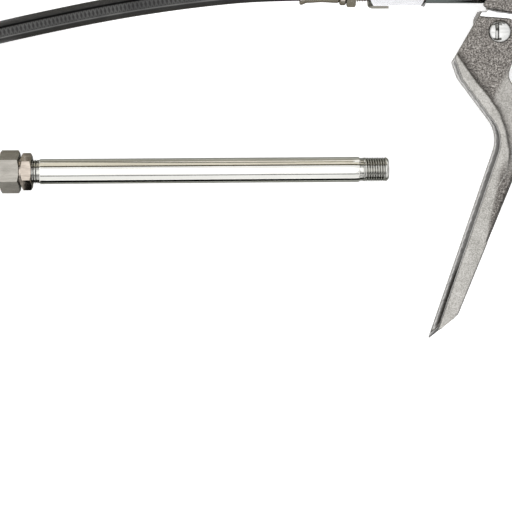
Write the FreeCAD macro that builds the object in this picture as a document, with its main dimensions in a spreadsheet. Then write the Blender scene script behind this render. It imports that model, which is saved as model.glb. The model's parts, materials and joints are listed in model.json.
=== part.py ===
"""A pistol-grip grease gun lying on its side, with its whip hose and a loose rigid pipe.

Three local frames are used, all in millimetres:
  gun   origin on the lever's pivot, X along the barrel away from the outlet, Y up the gun, Z along the pivot
  pump  origin inside the head on the pump axis, X running out towards the hose
  pipe  origin at the mouth of the loose pipe's coupler, X running towards its threaded end
The part's own frame stands on the table: Z is up, X runs along the barrel.
"""

import FreeCAD, Part
import math
import os

import Sketcher

Vector = FreeCAD.Vector
Placement = FreeCAD.Placement
Rotation = FreeCAD.Rotation
X_AXIS = Vector(1, 0, 0)
Y_AXIS = Vector(0, 1, 0)
Z_AXIS = Vector(0, 0, 1)
IN_PLACE = Placement()
FUNCTIONS = ("sin", "cos", "sqrt")

doc = FreeCAD.newDocument("grease_gun")
sheet = doc.addObject("Spreadsheet::Sheet", "Sizes")
pieces = []
next_row = [1]


def cell(name, value, note=""):
    """Put one driving size in the sheet under its own alias."""
    row = next_row[0]
    sheet.set(f"A{row}", name)
    sheet.set(f"B{row}", str(value))
    sheet.set(f"C{row}", note)
    sheet.setAlias(f"B{row}", name)
    next_row[0] = row + 1


def size(name):
    return float(sheet.get(name))


def value_of(expression):
    """The number that an expression over the sheet's cells comes to."""
    return float(sheet.evalExpression(bound(expression)))


def bound(expression):
    """An expression with each alias led back to the sheet."""
    text = str(expression)
    words = []
    word = ""
    for letter in text + " ":
        if letter.isalnum() or letter in "_.":
            word += letter
            continue
        words.append(f"Sizes.{word}" if word[:1].isalpha() and word not in FUNCTIONS else word)
        words.append(letter)
        word = ""
    return "".join(words).strip()


# ---------------------------------------------------------------- driving sizes
SIZES = {
    # how the gun lies
    "gun_across": (-33.2, "pivot, along the part's X"),
    "gun_along": (22.1, "pivot, along the part's Y"),
    "gun_height": (27.11, "pivot above the table"),
    "gun_lean": (6.2, "degrees that the gun leans, barrel up, grip down"),
    # pump line, measured along the pump axis from the back of the chamber
    "pump_up": (16.4, "pump axis above the pivot"),
    "pump_back": (22.0, "pump frame's origin behind the pivot"),
    "chamber_end": (21.8, "front wall of the crosshead chamber"),
    "chamber_dia": (12.4, ""),
    "chamber_length": (18.4, ""),
    "nose_wall": (26.7, "front face of the head"),
    "cylinder_dia": (10.8, ""),
    "cylinder_bore": (7.0, ""),
    "cylinder_end": (57.0, ""),
    "cylinder_depth": (31.0, "where its bore narrows"),
    "port_dia": (2.8, "grease inlet"),
    "port_at": (24.4, ""),
    "port_up": (27.0, "inlet passage above the pivot"),
    "outlet_bore": (4.0, ""),
    "sleeve_hex": (14.0, "across flats"),
    "sleeve_turn": (36.2, "degrees about its axis, as screwed up"),
    "sleeve_start": (50.2, ""),
    "sleeve_end": (72.4, ""),
    "sleeve_chamfer": (1.45, "taken off its corners, across"),
    "sleeve_lead": (1.9, "and along"),
    "valve_bore": (8.0, ""),
    "fitting_start": (65.5, "inner end of the hose fitting"),
    "fitting_thread": (9.6, ""),
    "fitting_thread_end": (77.1, ""),
    "fitting_hex": (12.0, "across flats"),
    "fitting_hex_end": (80.7, ""),
    "fitting_collar": (12.4, ""),
    "fitting_collar_end": (83.5, ""),
    "fitting_bore": (3.0, ""),
    "barb_dia": (4.6, ""),
    "barb_end": (95.0, ""),
    "ferrule_dia": (10.5, ""),
    "ferrule_mouth": (12.0, "flared lip"),
    "ferrule_end": (99.0, ""),
    "hose_dia": (9.0, ""),
    "hose_socket": (2.0, "depth of the ferrule's mouth round the hose"),
    # check valve
    "ball_dia": (5.5, ""),
    "check_wire": (0.7, ""),
    "check_coil": (4.51, "mean diameter"),
    "check_turns": (3.0, ""),
    # plunger and rocker
    "plunger_dia": (6.94, ""),
    "plunger_tip": (22.8, "at rest"),
    "crosshead_dia": (12.0, ""),
    "crosshead_wall": (1.8, ""),
    "crosshead_slot": (5.9, ""),
    "rocker_reach": (18.5, "pivot to the centre of the rocker's nose"),
    "rocker_angle": (40.0, "degrees behind the vertical, at rest"),
    "rocker_nose": (5.5, ""),
    "rocker_neck": (3.0, "width of its arm"),
    "rocker_thick": (4.6, ""),
    "rocker_relief": (2.1, "crosshead wall cut away from here down, below the pump axis"),
    "rocker_hub": (12.4, ""),
    "slot_centre": (11.985, "crosshead slot behind the pivot, at rest"),
    # pivot
    "shaft_dia": (8.2, ""),
    "shaft_length": (21.2, ""),
    "shaft_bore": (8.26, "running fit in the head"),
    "shaft_bevel": (0.7, "domed ends"),
    "shaft_slot": (1.3, "width of the staking slot"),
    "shaft_slot_long": (6.07, ""),
    "shaft_slot_deep": (1.2, "twice its depth"),
    "shaft_slot_off": (1.3, "from the shaft's axis"),
    "cross_pin_dia": (2.5, "holds the rocker on the shaft"),
    "cross_pin_length": (12.0, ""),
    "seal_inner": (8.34, "shaft seals"),
    "seal_outer": (11.0, ""),
    "seal_wide": (1.6, ""),
    "seal_out": (5.3, "middle of a seal, from the middle of the lug"),
    "lug_width": (15.0, ""),
    # lever
    "lever_width": (20.6, ""),
    "lever_gap": (15.4, "between its walls"),
    "lever_sink": (0.9, "depth of the rough panel"),
    "lever_end_across": (-21.75, "lower front corner of the wall away from the table"),
    "lever_end_up": (-115.5, ""),
    "lever_foot_across": (4.35, "from that corner to the heel"),
    "lever_foot_up": (3.6, ""),
    "lever_rim": (1.2, "thickness left under the channel at the tip"),
    "lever_trim": (12.0, "thickness of the block that trims its tip"),
    # barrel line
    "barrel_up": (36.0, "barrel axis above the pivot"),
    "barrel_dia": (56.0, ""),
    "barrel_wall": (1.6, ""),
    "barrel_start": (21.0, ""),
    "barrel_end": (268.0, ""),
    "cup_dia": (62.0, ""),
    "cone_dia": (38.44, "where it begins"),
    "cone_start": (3.0, "where the casting begins to widen into the cup"),
    "cup_start": (14.0, ""),
    "cup_end": (46.0, ""),
    "cap_start": (248.0, ""),
    "cap_end": (271.0, ""),
    "cap_floor": (3.0, ""),
    "cap_boss_tall": (2.4, ""),
    "cap_boss": (13.3, ""),
    "cap_boss_foot": (17.3, ""),
    "rod_dia": (7.0, ""),
    "piston_start": (70.0, "at rest, with the barrel nearly spent"),
    "piston_thick": (4.0, ""),
    "cup_lip": (9.0, "reach of the cup seal towards the head"),
    "cup_back": (3.0, "thickness of the cup seal under its washer"),
    "washer_thick": (2.0, ""),
    "follower_coil": (40.0, "mean diameter"),
    "follower_wire": (2.4, ""),
    "handle_start": (284.0, ""),
    "handle_dia": (9.0, ""),
    "handle_span": (58.0, ""),
    "handle_boss": (13.0, ""),
    "handle_boss_lead": (0.5, "the boss in front of the bar"),
    "rod_start": (57.0, ""),
    "rod_end": (293.5, ""),
    "rod_nut": (11.0, "across flats"),
    "rod_nut_thick": (4.0, ""),
    "washer_dia": (34.0, ""),
    "piston_dia": (50.0, ""),
    "seal_dia": (52.6, ""),
    "gasket_bore": (49.0, ""),
    "gasket_thick": (1.0, ""),
    "rod_bore": (7.3, "end cap's guide"),
    "latch_at": (275.0, "rod latch"),
    "latch_thick": (2.0, ""),
    "latch_wide": (16.0, ""),
    "latch_hole": (8.2, ""),
    "latch_drop": (13.0, "its pin below the rod"),
    "latch_rise": (24.0, "its tab above the rod"),
    "latch_pin_dia": (3.0, ""),
    "latch_knuckle": (6.0, ""),
    "latch_tab": (6.0, ""),
    "latch_play": (0.2, "to each side, in its bracket"),
    "bracket_ear": (3.0, "thickness"),
    "bracket_reach": (4.0, "ears beyond the pin"),
    "bracket_tall": (8.0, ""),
    "bracket_foot": (1.2, "thickness"),
    # fittings on top of the cup
    "bleeder_at": (38.0, ""),
    "loader_at": (23.0, ""),
    "boss_dia": (13.0, ""),
    "boss_root": (50.0, "above the pivot"),
    "boss_top": (70.0, "above the pivot"),
    "port_thread": (6.0, ""),
    "port_floor": (64.5, ""),
    "bleeder_gap": (0.15, "bleeder valve off its boss"),
    "bleeder_neck": (8.4, ""),
    "bleeder_neck_top": (1.2, "above the boss"),
    "bleeder_head": (9.8, ""),
    "bleeder_head_top": (5.6, "above the boss"),
    "bleeder_stem": (4.8, ""),
    "bleeder_top": (9.0, "above the boss"),
    "loader_hex": (10.0, "across flats"),
    "loader_hex_tall": (4.5, ""),
    "loader_neck": (4.4, ""),
    "loader_head": (6.6, ""),
    "loader_top": (14.0, "above the boss"),
    "loader_way": (2.0, ""),
    # lever spring
    "spring_low_across": (10.4, ""),
    "spring_low_up": (-27.5, ""),
    "spring_high_across": (24.8, ""),
    "spring_high_up": (-12.0, ""),
    "lever_coil": (6.5, "mean diameter"),
    "lever_wire": (1.1, ""),
    "lever_turns": (6.0, ""),
    "spring_seat": (0.9, "end of the lever spring off its seat"),
    # grip
    "grip_width": (23.0, ""),
    "chin_left": (4.0, "thickness of the chin that is left"),
    "bolt_dia": (6.0, ""),
    "bolt_head": (10.0, ""),
    "bolt_head_tall": (3.6, ""),
    "bolt_socket": (5.0, "across flats"),
    "bolt_socket_deep": (2.4, ""),
    "bolt_nut": (10.0, "across flats"),
    "bolt_nut_thick": (4.0, ""),
    "bolt_proud": (0.4, "its end beyond the nut"),
    "bolt_front_across": (30.5, ""),
    "bolt_front_up": (-7.0, ""),
    "bolt_rear_across": (43.5, ""),
    "bolt_rear_up": (-8.0, ""),
    "grip_tang": (12.0, "thickness of the head's tang"),
    "grip_sleeve": (28.0, "width of the rubber sleeve"),
    # loose pipe, measured from its coupler's mouth
    "pipe_dia": (10.0, ""),
    "pipe_bore": (4.0, ""),
    "pipe_start": (37.5, ""),
    "pipe_neck_end": (46.6, ""),
    "pipe_shoulder": (174.6, ""),
    "pipe_groove_end": (176.4, ""),
    "pipe_thread": (9.6, ""),
    "pipe_end": (186.3, ""),
    "pipe_chamfer": (0.9, ""),
    "neck_dia": (9.2, ""),
    "pipe_across": (-227.0, "coupler mouth from the pivot, along the part's X"),
    "pipe_along": (-53.95, "coupler mouth from the pivot, along the part's Y"),
    "pipe_height": (8.27, "coupler axis above the table"),
    "pipe_swing": (0.45, "degrees in plan"),
    "pipe_dip": (1.07, "degrees down towards the thread"),
    # grease coupler
    "jaw_mouth": (6.6, "bore at the mouth, round a nipple"),
    "jaw_outer": (11.0, ""),
    "jaw_start": (0.4, ""),
    "jaw_end": (8.4, ""),
    "jaw_slit": (1.0, ""),
    "mouth_bore": (11.2, ""),
    "nut_step": (9.4, ""),
    "nut_lip": (13.0, ""),
    "nut_bevel": (0.8, ""),
    "seal_start": (8.7, ""),
    "seal_end": (11.2, ""),
    "seal_ring": (10.8, ""),
    "piston_end": (17.0, ""),
    "piston_ring": (9.8, ""),
    "coupler_bore": (2.6, ""),
    "body_front": (14.0, ""),
    "body_chamber": (10.0, ""),
    "chamber_floor": (24.0, ""),
    "jaw_spring_dia": (8.0, "mean diameter"),
    "jaw_spring_wire": (1.0, ""),
    "jaw_spring_turns": (3.0, ""),
    "pipe_socket": (34.0, "bottom of the body's rear thread"),
    "pipe_socket_dia": (10.0, ""),
    "hose_socket_at": (27.0, "bottom of the body's rear thread, on the hose"),
    "groove_dia": (13.0, ""),
    "adaptor_start": (39.4, ""),
    "pipe_stub": (8.0, ""),
    "nut_length": (30.2, ""),
    "nut_dia": (15.4, ""),
    "coupler_thread": (12.0, ""),
    "body_step": (31.0, "where the hexagon begins"),
    "body_hex": (15.0, "across flats"),
    "body_end": (38.6, ""),
    "adaptor_end": (43.5, ""),
    "adaptor_hex": (13.0, "across flats"),
}
for name, (amount, note) in SIZES.items():
    cell(name, amount, note)

# Outlines: a name for each corner, its X and Y in the gun frame, and the radius that rounds it.
LEVER = [
    ("brow", -8.3, 6.0, 0.8),
    ("nose", -17.4, -10.0, 1.4),
    ("cheek", -14.5, -18.2, 8.0),
    ("waist", 2.3, -40.2, 13.3),
    ("tip", -25.0, -122.9, 0.3),
    ("heel", -17.1, -115.6, 2.0),
    ("back", 10.9, -44.4, 14.0),
    ("shoulder", 9.6, -26.5, 7.0),
    ("notch", 3.3, -17.4, 5.0),
    ("hip", 6.6, -6.5, 4.0),
    ("crown", 6.2, 4.9, 3.6),
]
CHANNEL = [
    ("mouth", -30.0, 12.0, 0),
    ("foot", -42.0, -110.0, 0),
    ("toe", -30.0, -126.0, 0),
    ("corner", -21.5, -122.0, 0),
    ("web", 7.2, -45.4, 0),
    ("webtop", 6.6, -30.0, 0),
    ("open", 4.0, -24.0, 0),
    ("free", 14.0, -17.4, 0),
    ("over", 14.0, 12.0, 0),
]
PANEL = [
    ("front", -24.0, 12.0, 0),
    ("lip", -24.0, -4.0, 0),
    ("start", -16.0, -9.2, 0),
    ("bend", -9.2, -18.7, 0),
    ("rise", -4.3, -24.5, 0),
    ("slope", 0.2, -31.0, 0),
    ("turn", 2.8, -38.0, 0),
    ("knee", 4.4, -46.5, 0),
    ("drop", 3.6, -53.5, 0),
    ("slide", -0.8, -61.0, 0),
    ("fade", -4.3, -74.0, 0),
    ("end", -4.4, -82.0, 0),
    ("edge", 2.0, -76.0, 0),
    ("side", 16.0, -50.0, 0),
    ("top", 16.0, 12.0, 0),
]
# The wall that faces the table has its nose cut back to this corner.
NOSE_CUT = [
    ("low", -19.2, -16.2, 0),
    ("high", -2.7, 12.4, 0),
    ("above", -30.0, 12.4, 0),
    ("below", -30.0, -16.2, 0),
]
HANDLE = [
    ("toe", 21.0, 0.5, 2.0),
    ("neck", 27.5, -14.0, 12.0),
    ("front", 36.0, -52.0, 30.0),
    ("base", 43.0, -126.0, 5.0),
    ("butt", 67.0, -128.0, 6.0),
    ("palm", 63.0, -70.0, 30.0),
    ("web", 51.0, -22.0, 12.0),
    ("spur", 60.0, -2.5, 3.0),
    ("top", 50.0, 0.5, 1.0),
]
RUBBER = [
    ("collar", 32.2, -36.0, 4.0),
    ("base", 39.6, -121.0, 5.0),
    ("butt", 69.4, -122.5, 6.0),
    ("palm", 65.4, -70.0, 30.0),
    ("web", 56.0, -33.0, 4.0),
]
BLOCK = [
    ("chin", -7.2, 9.3, 1.2),
    ("lip", -4.7, 14.0, 3.0),
    ("face", -4.7, 24.0, 6.0),
    ("brow", 5.0, 44.0, 10.0),
    ("crown", 20.0, 50.0, 0),
    ("back", 20.0, 4.9, 0),
]
# The head's chin is cut back on the side that faces the table.
CHIN_CUT = [
    ("low", -12.0, 8.0, 0),
    ("root", -3.0, 8.0, 0),
    ("rise", -3.6, 11.0, 0),
    ("top", -4.7, 14.0, 0),
    ("out", -12.0, 14.0, 0),
]
LUG = [
    ("chin", -6.0, 9.9, 0),
    ("front", -8.6, 4.9, 0.8),
    ("under", -8.6, -9.2, 7.5),
    ("rear", 10.5, -9.2, 6.0),
    ("root", 20.0, 0.0, 2.0),
    ("top", 20.0, 9.6, 0),
]
SWING = [
    ("front", -6.5, 3.0, 0),
    ("low", -6.5, -6.6, 0),
    ("under", 6.8, -6.6, 0),
    ("rear", 17.6, 7.0, 0),
    ("top", 17.6, 18.0, 0),
    ("face", 0.4, 18.0, 0),
]
TANG = [
    ("front", 22.5, 10.0, 0),
    ("neck", 28.0, -12.5, 3.0),
    ("foot", 46.5, -14.5, 3.0),
    ("rear", 49.5, 10.0, 0),
]
FORK = [
    ("front", 10.0, 4.0, 0),
    ("low", 10.0, -16.0, 0),
    ("floor", 70.0, -16.0, 0),
    ("rear", 70.0, 4.0, 0),
]
OUTLINES = {
    "lever": LEVER,
    "channel": CHANNEL,
    "panel": PANEL,
    "nose_cut": NOSE_CUT,
    "handle": HANDLE,
    "rubber": RUBBER,
    "block": BLOCK,
    "chin_cut": CHIN_CUT,
    "lug": LUG,
    "swing": SWING,
    "tang": TANG,
    "fork": FORK,
}
for outline, corners in OUTLINES.items():
    for corner, across, up, rounding in corners:
        cell(f"{outline}_{corner}_across", across)
        cell(f"{outline}_{corner}_up", up)
        if rounding:
            cell(f"{outline}_{corner}_round", rounding)
doc.recompute()

# ---------------------------------------------------------------- where things stand
GUN = Placement(
    Vector(size("gun_across"), size("gun_along"), size("gun_height")),
    Rotation(X_AXIS, size("gun_lean")),
)
PUMP = GUN * Placement(Vector(size("pump_back"), size("pump_up"), 0), Rotation(Y_AXIS, 180))
BARREL = GUN * Placement(Vector(0, size("barrel_up"), 0), Rotation())
PIPE = Placement(
    Vector(
        size("gun_across") + size("pipe_across"),
        size("gun_along") + size("pipe_along"),
        size("pipe_height"),
    ),
    Rotation(Z_AXIS, size("pipe_swing")) * Rotation(Y_AXIS, size("pipe_dip")),
)


# ---------------------------------------------------------------- ways of making a piece
def keep(item, label, place):
    """Make an object one of the finished pieces."""
    item.Label = label
    item.Placement = place * item.Placement
    pieces.append(item)
    return item


def new_body(label, place):
    body = doc.addObject("PartDesign::Body", "body_" + label)
    return keep(body, label, place)


def pin_corner(sketch, line, point, axis_value, kind):
    """Hold one coordinate of a corner at the value of an expression."""
    amount = value_of(axis_value)
    on_axis = -2 if kind == "DistanceX" else -1
    if abs(amount) < 1e-9:
        sketch.addConstraint(Sketcher.Constraint("PointOnObject", line, point, on_axis))
    elif amount > 0:
        index = sketch.addConstraint(Sketcher.Constraint(kind, -1, 1, line, point, amount))
        sketch.setExpression(f"Constraints[{index}]", bound(axis_value))
    else:
        index = sketch.addConstraint(Sketcher.Constraint(kind, line, point, -1, 1, -amount))
        sketch.setExpression(f"Constraints[{index}]", bound(f"-({axis_value})"))


def closed_sketch(body, corners, height=None):
    """A closed outline of straight lines in the body's XY plane, each corner given by two expressions."""
    sketch = body.newObject("Sketcher::SketchObject", "outline")
    plane = [f for f in body.Origin.OriginFeatures if f.Role == "XY_Plane"][0]
    sketch.AttachmentSupport = (plane, [""])
    sketch.MapMode = "FlatFace"
    if height is not None:
        sketch.AttachmentOffset = Placement(Vector(0, 0, value_of(height)), Rotation())
        sketch.setExpression("AttachmentOffset.Base.z", bound(height))
    points = [Vector(value_of(a), value_of(b), 0) for a, b in corners]
    count = len(points)
    lines = [Part.LineSegment(points[i], points[(i + 1) % count]) for i in range(count)]
    sketch.addGeometry(lines, False)
    for i in range(count):
        sketch.addConstraint(Sketcher.Constraint("Coincident", i, 2, (i + 1) % count, 1))
    for i, (across, up) in enumerate(corners):
        pin_corner(sketch, i, 1, across, "DistanceX")
        pin_corner(sketch, i, 1, up, "DistanceY")
    return sketch


def turned(label, place, corners):
    """A body of revolution about its X axis, from a closed outline of (along, radius) expressions."""
    body = new_body(label, place)
    sketch = closed_sketch(body, corners)
    turn = body.newObject("PartDesign::Revolution", "turn")
    turn.Profile = sketch
    turn.ReferenceAxis = (sketch, ["H_Axis"])
    turn.Angle = 360
    doc.recompute()
    return body


def ring(start, end, outer, inner):
    """The outline of a plain tube, its diameters given."""
    return [
        (start, f"({inner}) / 2"),
        (end, f"({inner}) / 2"),
        (end, f"({outer}) / 2"),
        (start, f"({outer}) / 2"),
    ]


def outline_corners(outline):
    return [
        (f"{outline}_{corner}_across", f"{outline}_{corner}_up")
        for corner, _, _, _ in OUTLINES[outline]
    ]


def corner_edge(shape, x, y):
    """The name of the edge along Z that stands over a corner."""
    for number, edge in enumerate(shape.Edges, 1):
        ends = [v.Point for v in edge.Vertexes]
        if len(ends) != 2 or abs(ends[0].z - ends[1].z) < 1:
            continue
        if all(math.hypot(p.x - x, p.y - y) < 0.01 for p in ends):
            return f"Edge{number}"
    raise RuntimeError(f"no edge over {x}, {y}")


def round_corners(body, feature, outline):
    """Round the corners of a padded outline, each by its own radius."""
    for corner, _, _, rounding in OUTLINES[outline]:
        if not rounding:
            continue
        name = f"{outline}_{corner}"
        edge = corner_edge(feature.Shape, size(f"{name}_across"), size(f"{name}_up"))
        fillet = body.newObject("PartDesign::Fillet", f"round_{corner}")
        fillet.Base = (feature, [edge])
        fillet.setExpression("Radius", bound(f"{name}_round"))
        doc.recompute()
        feature = fillet
    return feature


def slab(label, place, outline, width):
    """An outline padded evenly to both sides of its plane, with its corners rounded."""
    body = new_body(label, place)
    pad = body.newObject("PartDesign::Pad", "slab")
    pad.Profile = closed_sketch(body, outline_corners(outline))
    pad.Midplane = True
    pad.setExpression("Length", bound(width))
    doc.recompute()
    round_corners(body, pad, outline)
    return body


def cut_pocket(body, corners, depth, height=None, both=False, upward=False):
    """A pocket that must take material away."""
    before = body.Shape.Volume
    pocket = body.newObject("PartDesign::Pocket", "pocket")
    pocket.Profile = closed_sketch(body, corners, height)
    pocket.Midplane = both
    pocket.Reversed = upward
    pocket.setExpression("Length", bound(depth))
    doc.recompute()
    if not body.Shape.Volume < before - 0.1:
        raise RuntimeError(f"a pocket of {body.Label} cuts nothing")


def tool_cylinder(dia, length, start, direction):
    """A Part cylinder between two booleans, its diameter and length bound to expressions."""
    item = doc.addObject("Part::Cylinder", "cylinder")
    item.setExpression("Radius", bound(f"({dia}) / 2"))
    item.setExpression("Height", bound(length))
    item.Placement = Placement(start, Rotation(Z_AXIS, direction))
    return item


def tool_cone(dia_start, dia_end, length, start, direction):
    item = doc.addObject("Part::Cone", "cone")
    item.setExpression("Radius1", bound(f"({dia_start}) / 2"))
    item.setExpression("Radius2", bound(f"({dia_end}) / 2"))
    item.setExpression("Height", bound(length))
    item.Placement = Placement(start, Rotation(Z_AXIS, direction))
    return item


def tool_box(length, width, height, centre):
    item = doc.addObject("Part::Box", "box")
    item.setExpression("Length", bound(length))
    item.setExpression("Width", bound(width))
    item.setExpression("Height", bound(height))
    corner = centre - Vector(value_of(length) / 2, value_of(width) / 2, value_of(height) / 2)
    item.Placement = Placement(corner, Rotation())
    return item


def tool_prism(across_flats, length, start, direction):
    """A hexagonal Part prism along a direction."""
    item = doc.addObject("Part::Prism", "prism")
    item.Polygon = 6
    item.setExpression("Circumradius", bound(f"({across_flats}) / sqrt(3)"))
    item.setExpression("Height", bound(length))
    item.Placement = Placement(start, Rotation(Z_AXIS, direction) * Rotation(Z_AXIS, 30))
    return item


def tool_slab(outline, width):
    """An outline padded for a boolean, in a body that isn't a finished piece."""
    body = slab("tool_" + outline, IN_PLACE, outline, width)
    pieces.remove(body)
    return body


def joined(items):
    item = doc.addObject("Part::MultiFuse", "joined")
    item.Shapes = items
    item.Refine = True
    return item


def cut(base, tools):
    """A base with every tool cut from it."""
    item = doc.addObject("Part::Cut", "cut")
    item.Base = base
    item.Tool = tools[0] if len(tools) == 1 else joined(tools)
    item.Refine = True
    return item


def grouped(items):
    """Separate solids kept as one node."""
    item = doc.addObject("Part::Compound", "group")
    item.Links = items
    return item


def at(across, up, out=0.0):
    return Vector(across, up, out)


def coil(label, place, start, length, mean_dia, wire, turns):
    """A round-wire compression spring along its X axis, swept from the sheet's sizes."""
    pitch = length / turns
    helix = Part.makeHelix(pitch, length, mean_dia / 2)
    section = Part.Wire([Part.Circle(Vector(mean_dia / 2, 0, 0), Y_AXIS, wire / 2).toShape()])
    sweep = Part.Wire(helix).makePipeShell([section], True, True)
    spring = doc.addObject("Part::Feature", "spring")
    spring.Shape = sweep
    along_x = Placement(Vector(start, 0, 0), Rotation(Z_AXIS, X_AXIS))
    return keep(spring, label, place * along_x)


def hex_collar(across_flats, start, length, bevel=1.0, lead=0.5):
    """A hexagon along X, its corners turned off at both ends by a bevel that is as long as its lead."""
    radius = f"({across_flats}) / sqrt(3)"
    prism = tool_prism(across_flats, length, at(value_of(start), 0), X_AXIS)
    corners = [
        (start, 0),
        (start, f"{radius} - {bevel}"),
        (f"({start}) + {lead}", radius),
        (f"({start}) + ({length}) - {lead}", radius),
        (f"({start}) + ({length})", f"{radius} - {bevel}"),
        (f"({start}) + ({length})", 0),
    ]
    blank = turned("blank", IN_PLACE, corners)
    pieces.remove(blank)
    item = doc.addObject("Part::Common", "hexagon")
    item.Base = prism
    item.Tool = blank
    return item


def plain_turned(corners):
    """A turned shape that is only part of a piece."""
    body = turned("turned", IN_PLACE, corners)
    pieces.remove(body)
    return body


# ---------------------------------------------------------------- head
def make_head():
    cup = at(size("cup_start"), size("barrel_up"))
    cone = at(size("cone_start"), size("barrel_up"))
    pump = size("pump_up")
    back = size("pump_back")
    root = size("boss_root")
    solid = joined([
        tool_slab("block", "grip_width"),
        tool_slab("lug", "lug_width"),
        tool_slab("tang", "grip_tang"),
        tool_cone("cone_dia", "cup_dia", "cup_start - cone_start", cone, X_AXIS),
        tool_cylinder("cup_dia", "cup_end - cup_start", cup, X_AXIS),
        tool_cylinder("boss_dia", "boss_top - boss_root", at(size("bleeder_at"), root), Y_AXIS),
        tool_cylinder("boss_dia", "boss_top - boss_root", at(size("loader_at"), root), Y_AXIS),
    ])
    front = back - size("nose_wall")
    wall = back - size("chamber_end")
    barrel_seat = size("barrel_start") - size("gasket_thick")
    port = back - size("port_at")
    port_up = size("port_up")
    chin = tool_slab("chin_cut", "grip_width")
    chin.Placement = Placement(at(0, 0, -size("chin_left")), Rotation())
    seal_low = -size("seal_out") - size("seal_wide") / 2
    seal_high = size("seal_out") - size("seal_wide") / 2
    tools = [
        tool_cylinder("barrel_dia + 0.2", "cup_end", at(barrel_seat, size("barrel_up")), X_AXIS),
        tool_cylinder("chamber_dia", "chamber_length", at(wall, pump), X_AXIS),
        tool_cylinder("cylinder_dia", "nose_wall - chamber_end + 4", at(front - 3.5, pump), X_AXIS),
        tool_slab("swing", "rocker_thick + 0.6"),
        chin,
        tool_cylinder("shaft_bore", "lug_width + 2", at(0, 0, -size("lug_width") / 2 - 1), Z_AXIS),
        tool_cylinder("seal_outer", "seal_wide", at(0, 0, seal_low), Z_AXIS),
        tool_cylinder("seal_outer", "seal_wide", at(0, 0, seal_high), Z_AXIS),
        tool_cylinder("port_dia", "port_up - pump_up", at(port, pump), Y_AXIS),
        tool_cylinder("port_dia", "barrel_start + 4", at(port, port_up), X_AXIS),
        tool_cylinder("port_thread", "boss_top", at(size("bleeder_at"), size("port_floor")), Y_AXIS),
        tool_cylinder("port_thread", "boss_top", at(size("loader_at"), size("port_floor")), Y_AXIS),
    ]
    for x, y in bolt_places():
        tools.append(tool_cylinder("bolt_dia", "grip_width", at(x, y, -size("grip_width") / 2), Z_AXIS))
    keep(cut(solid, tools), "head_casting", GUN)


def bolt_places():
    """The two bolts that hold the grip on the head's tang."""
    return [
        (size("bolt_front_across"), size("bolt_front_up")),
        (size("bolt_rear_across"), size("bolt_rear_up")),
    ]


def make_top_fittings():
    """The bleeder valve and the loader nipple, which screw into the top of the cup."""
    floor = "port_floor"
    bleeder = Placement(at(size("bleeder_at"), 0), Rotation(X_AXIS, Y_AXIS))
    turned("bleeder_valve", GUN * bleeder, [
        (floor, 0),
        (floor, "port_thread / 2 - 0.8"),
        (f"{floor} + 0.8", "port_thread / 2 - 0.02"),
        ("boss_top + bleeder_gap", "port_thread / 2 - 0.02"),
        ("boss_top + bleeder_gap", "bleeder_neck / 2"),
        ("boss_top + bleeder_neck_top", "bleeder_neck / 2"),
        ("boss_top + bleeder_neck_top", "bleeder_head / 2"),
        ("boss_top + bleeder_head_top", "bleeder_head / 2"),
        ("boss_top + bleeder_head_top + 0.8", "bleeder_head / 2 - 0.8"),
        ("boss_top + bleeder_head_top + 0.8", "bleeder_stem / 2"),
        ("boss_top + bleeder_top", "bleeder_stem / 2 - 0.4"),
        ("boss_top + bleeder_top", 0),
    ])
    loader = Placement(at(size("loader_at"), 0), Rotation(X_AXIS, Y_AXIS))
    tip = plain_turned([
        (floor, 0),
        (floor, "port_thread / 2"),
        ("boss_top", "port_thread / 2"),
        ("boss_top + loader_hex_tall + 0.5", "loader_head / 2"),
        ("boss_top + loader_top - 6", "loader_neck / 2 + 0.4"),
        ("boss_top + loader_top - 4.5", "loader_neck / 2"),
        ("boss_top + loader_top - 3", "loader_head / 2"),
        ("boss_top + loader_top - 1.5", "loader_head / 2"),
        ("boss_top + loader_top", "loader_way"),
        ("boss_top + loader_top", 0),
    ])
    hexagon = hex_collar("loader_hex", "boss_top", "loader_hex_tall")
    way = tool_cylinder("loader_way", "boss_top", at(size("port_floor") - 1, 0), X_AXIS)
    keep(cut(joined([tip, hexagon]), [way]), "loader_nipple", GUN * loader)


# ---------------------------------------------------------------- lever, shaft, rocker
def make_lever():
    plate = slab("lever_plate", IN_PLACE, "lever", "lever_width")
    pieces.remove(plate)
    cut_pocket(plate, outline_corners("panel"), "lever_sink", height="lever_width / 2")
    cut_pocket(plate, outline_corners("panel"), "lever_sink", height="-(lever_width / 2)", upward=True)
    wall = "(lever_width - lever_gap) / 2"
    cut_pocket(plate, outline_corners("nose_cut"), wall, height="-(lever_width / 2)", upward=True)
    bore = tool_cylinder("shaft_dia", "lever_width + 2", at(0, 0, -size("lever_width") / 2 - 1), Z_AXIS)
    channel = cut(tool_slab("channel", "lever_gap"), [lever_tip_tool(size("lever_rim"))])
    keep(cut(plate, [bore, channel, lever_tip_tool(0)]), "lever", GUN)


def lever_tip_tool(inset):
    """A block whose face trims the tip aslant, from the end of one wall to the point of the other."""
    side = size("lever_width") / 2
    near = at(size("lever_end_across"), size("lever_end_up"), side)
    far = at(size("lever_tip_across"), size("lever_tip_up"), -side)
    outward = (far - near).cross(at(size("lever_foot_across"), size("lever_foot_up")))
    middle = at(size("lever_trim") / 2 - inset, 0)
    block = tool_box("lever_trim", "lever_width * 3", "lever_width * 3", middle)
    block.Placement = Placement((near + far) * 0.5, Rotation(X_AXIS, outward)) * block.Placement
    return block


def rocker_direction():
    angle = math.radians(size("rocker_angle"))
    return Vector(math.sin(angle), math.cos(angle), 0)


def cross_pin_tool():
    """The cross pin lies across the rocker's arm, through hub and shaft."""
    along = Z_AXIS.cross(rocker_direction())
    start = along * (-size("cross_pin_length") / 2)
    return tool_cylinder("cross_pin_dia", "cross_pin_length", start, along)


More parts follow.
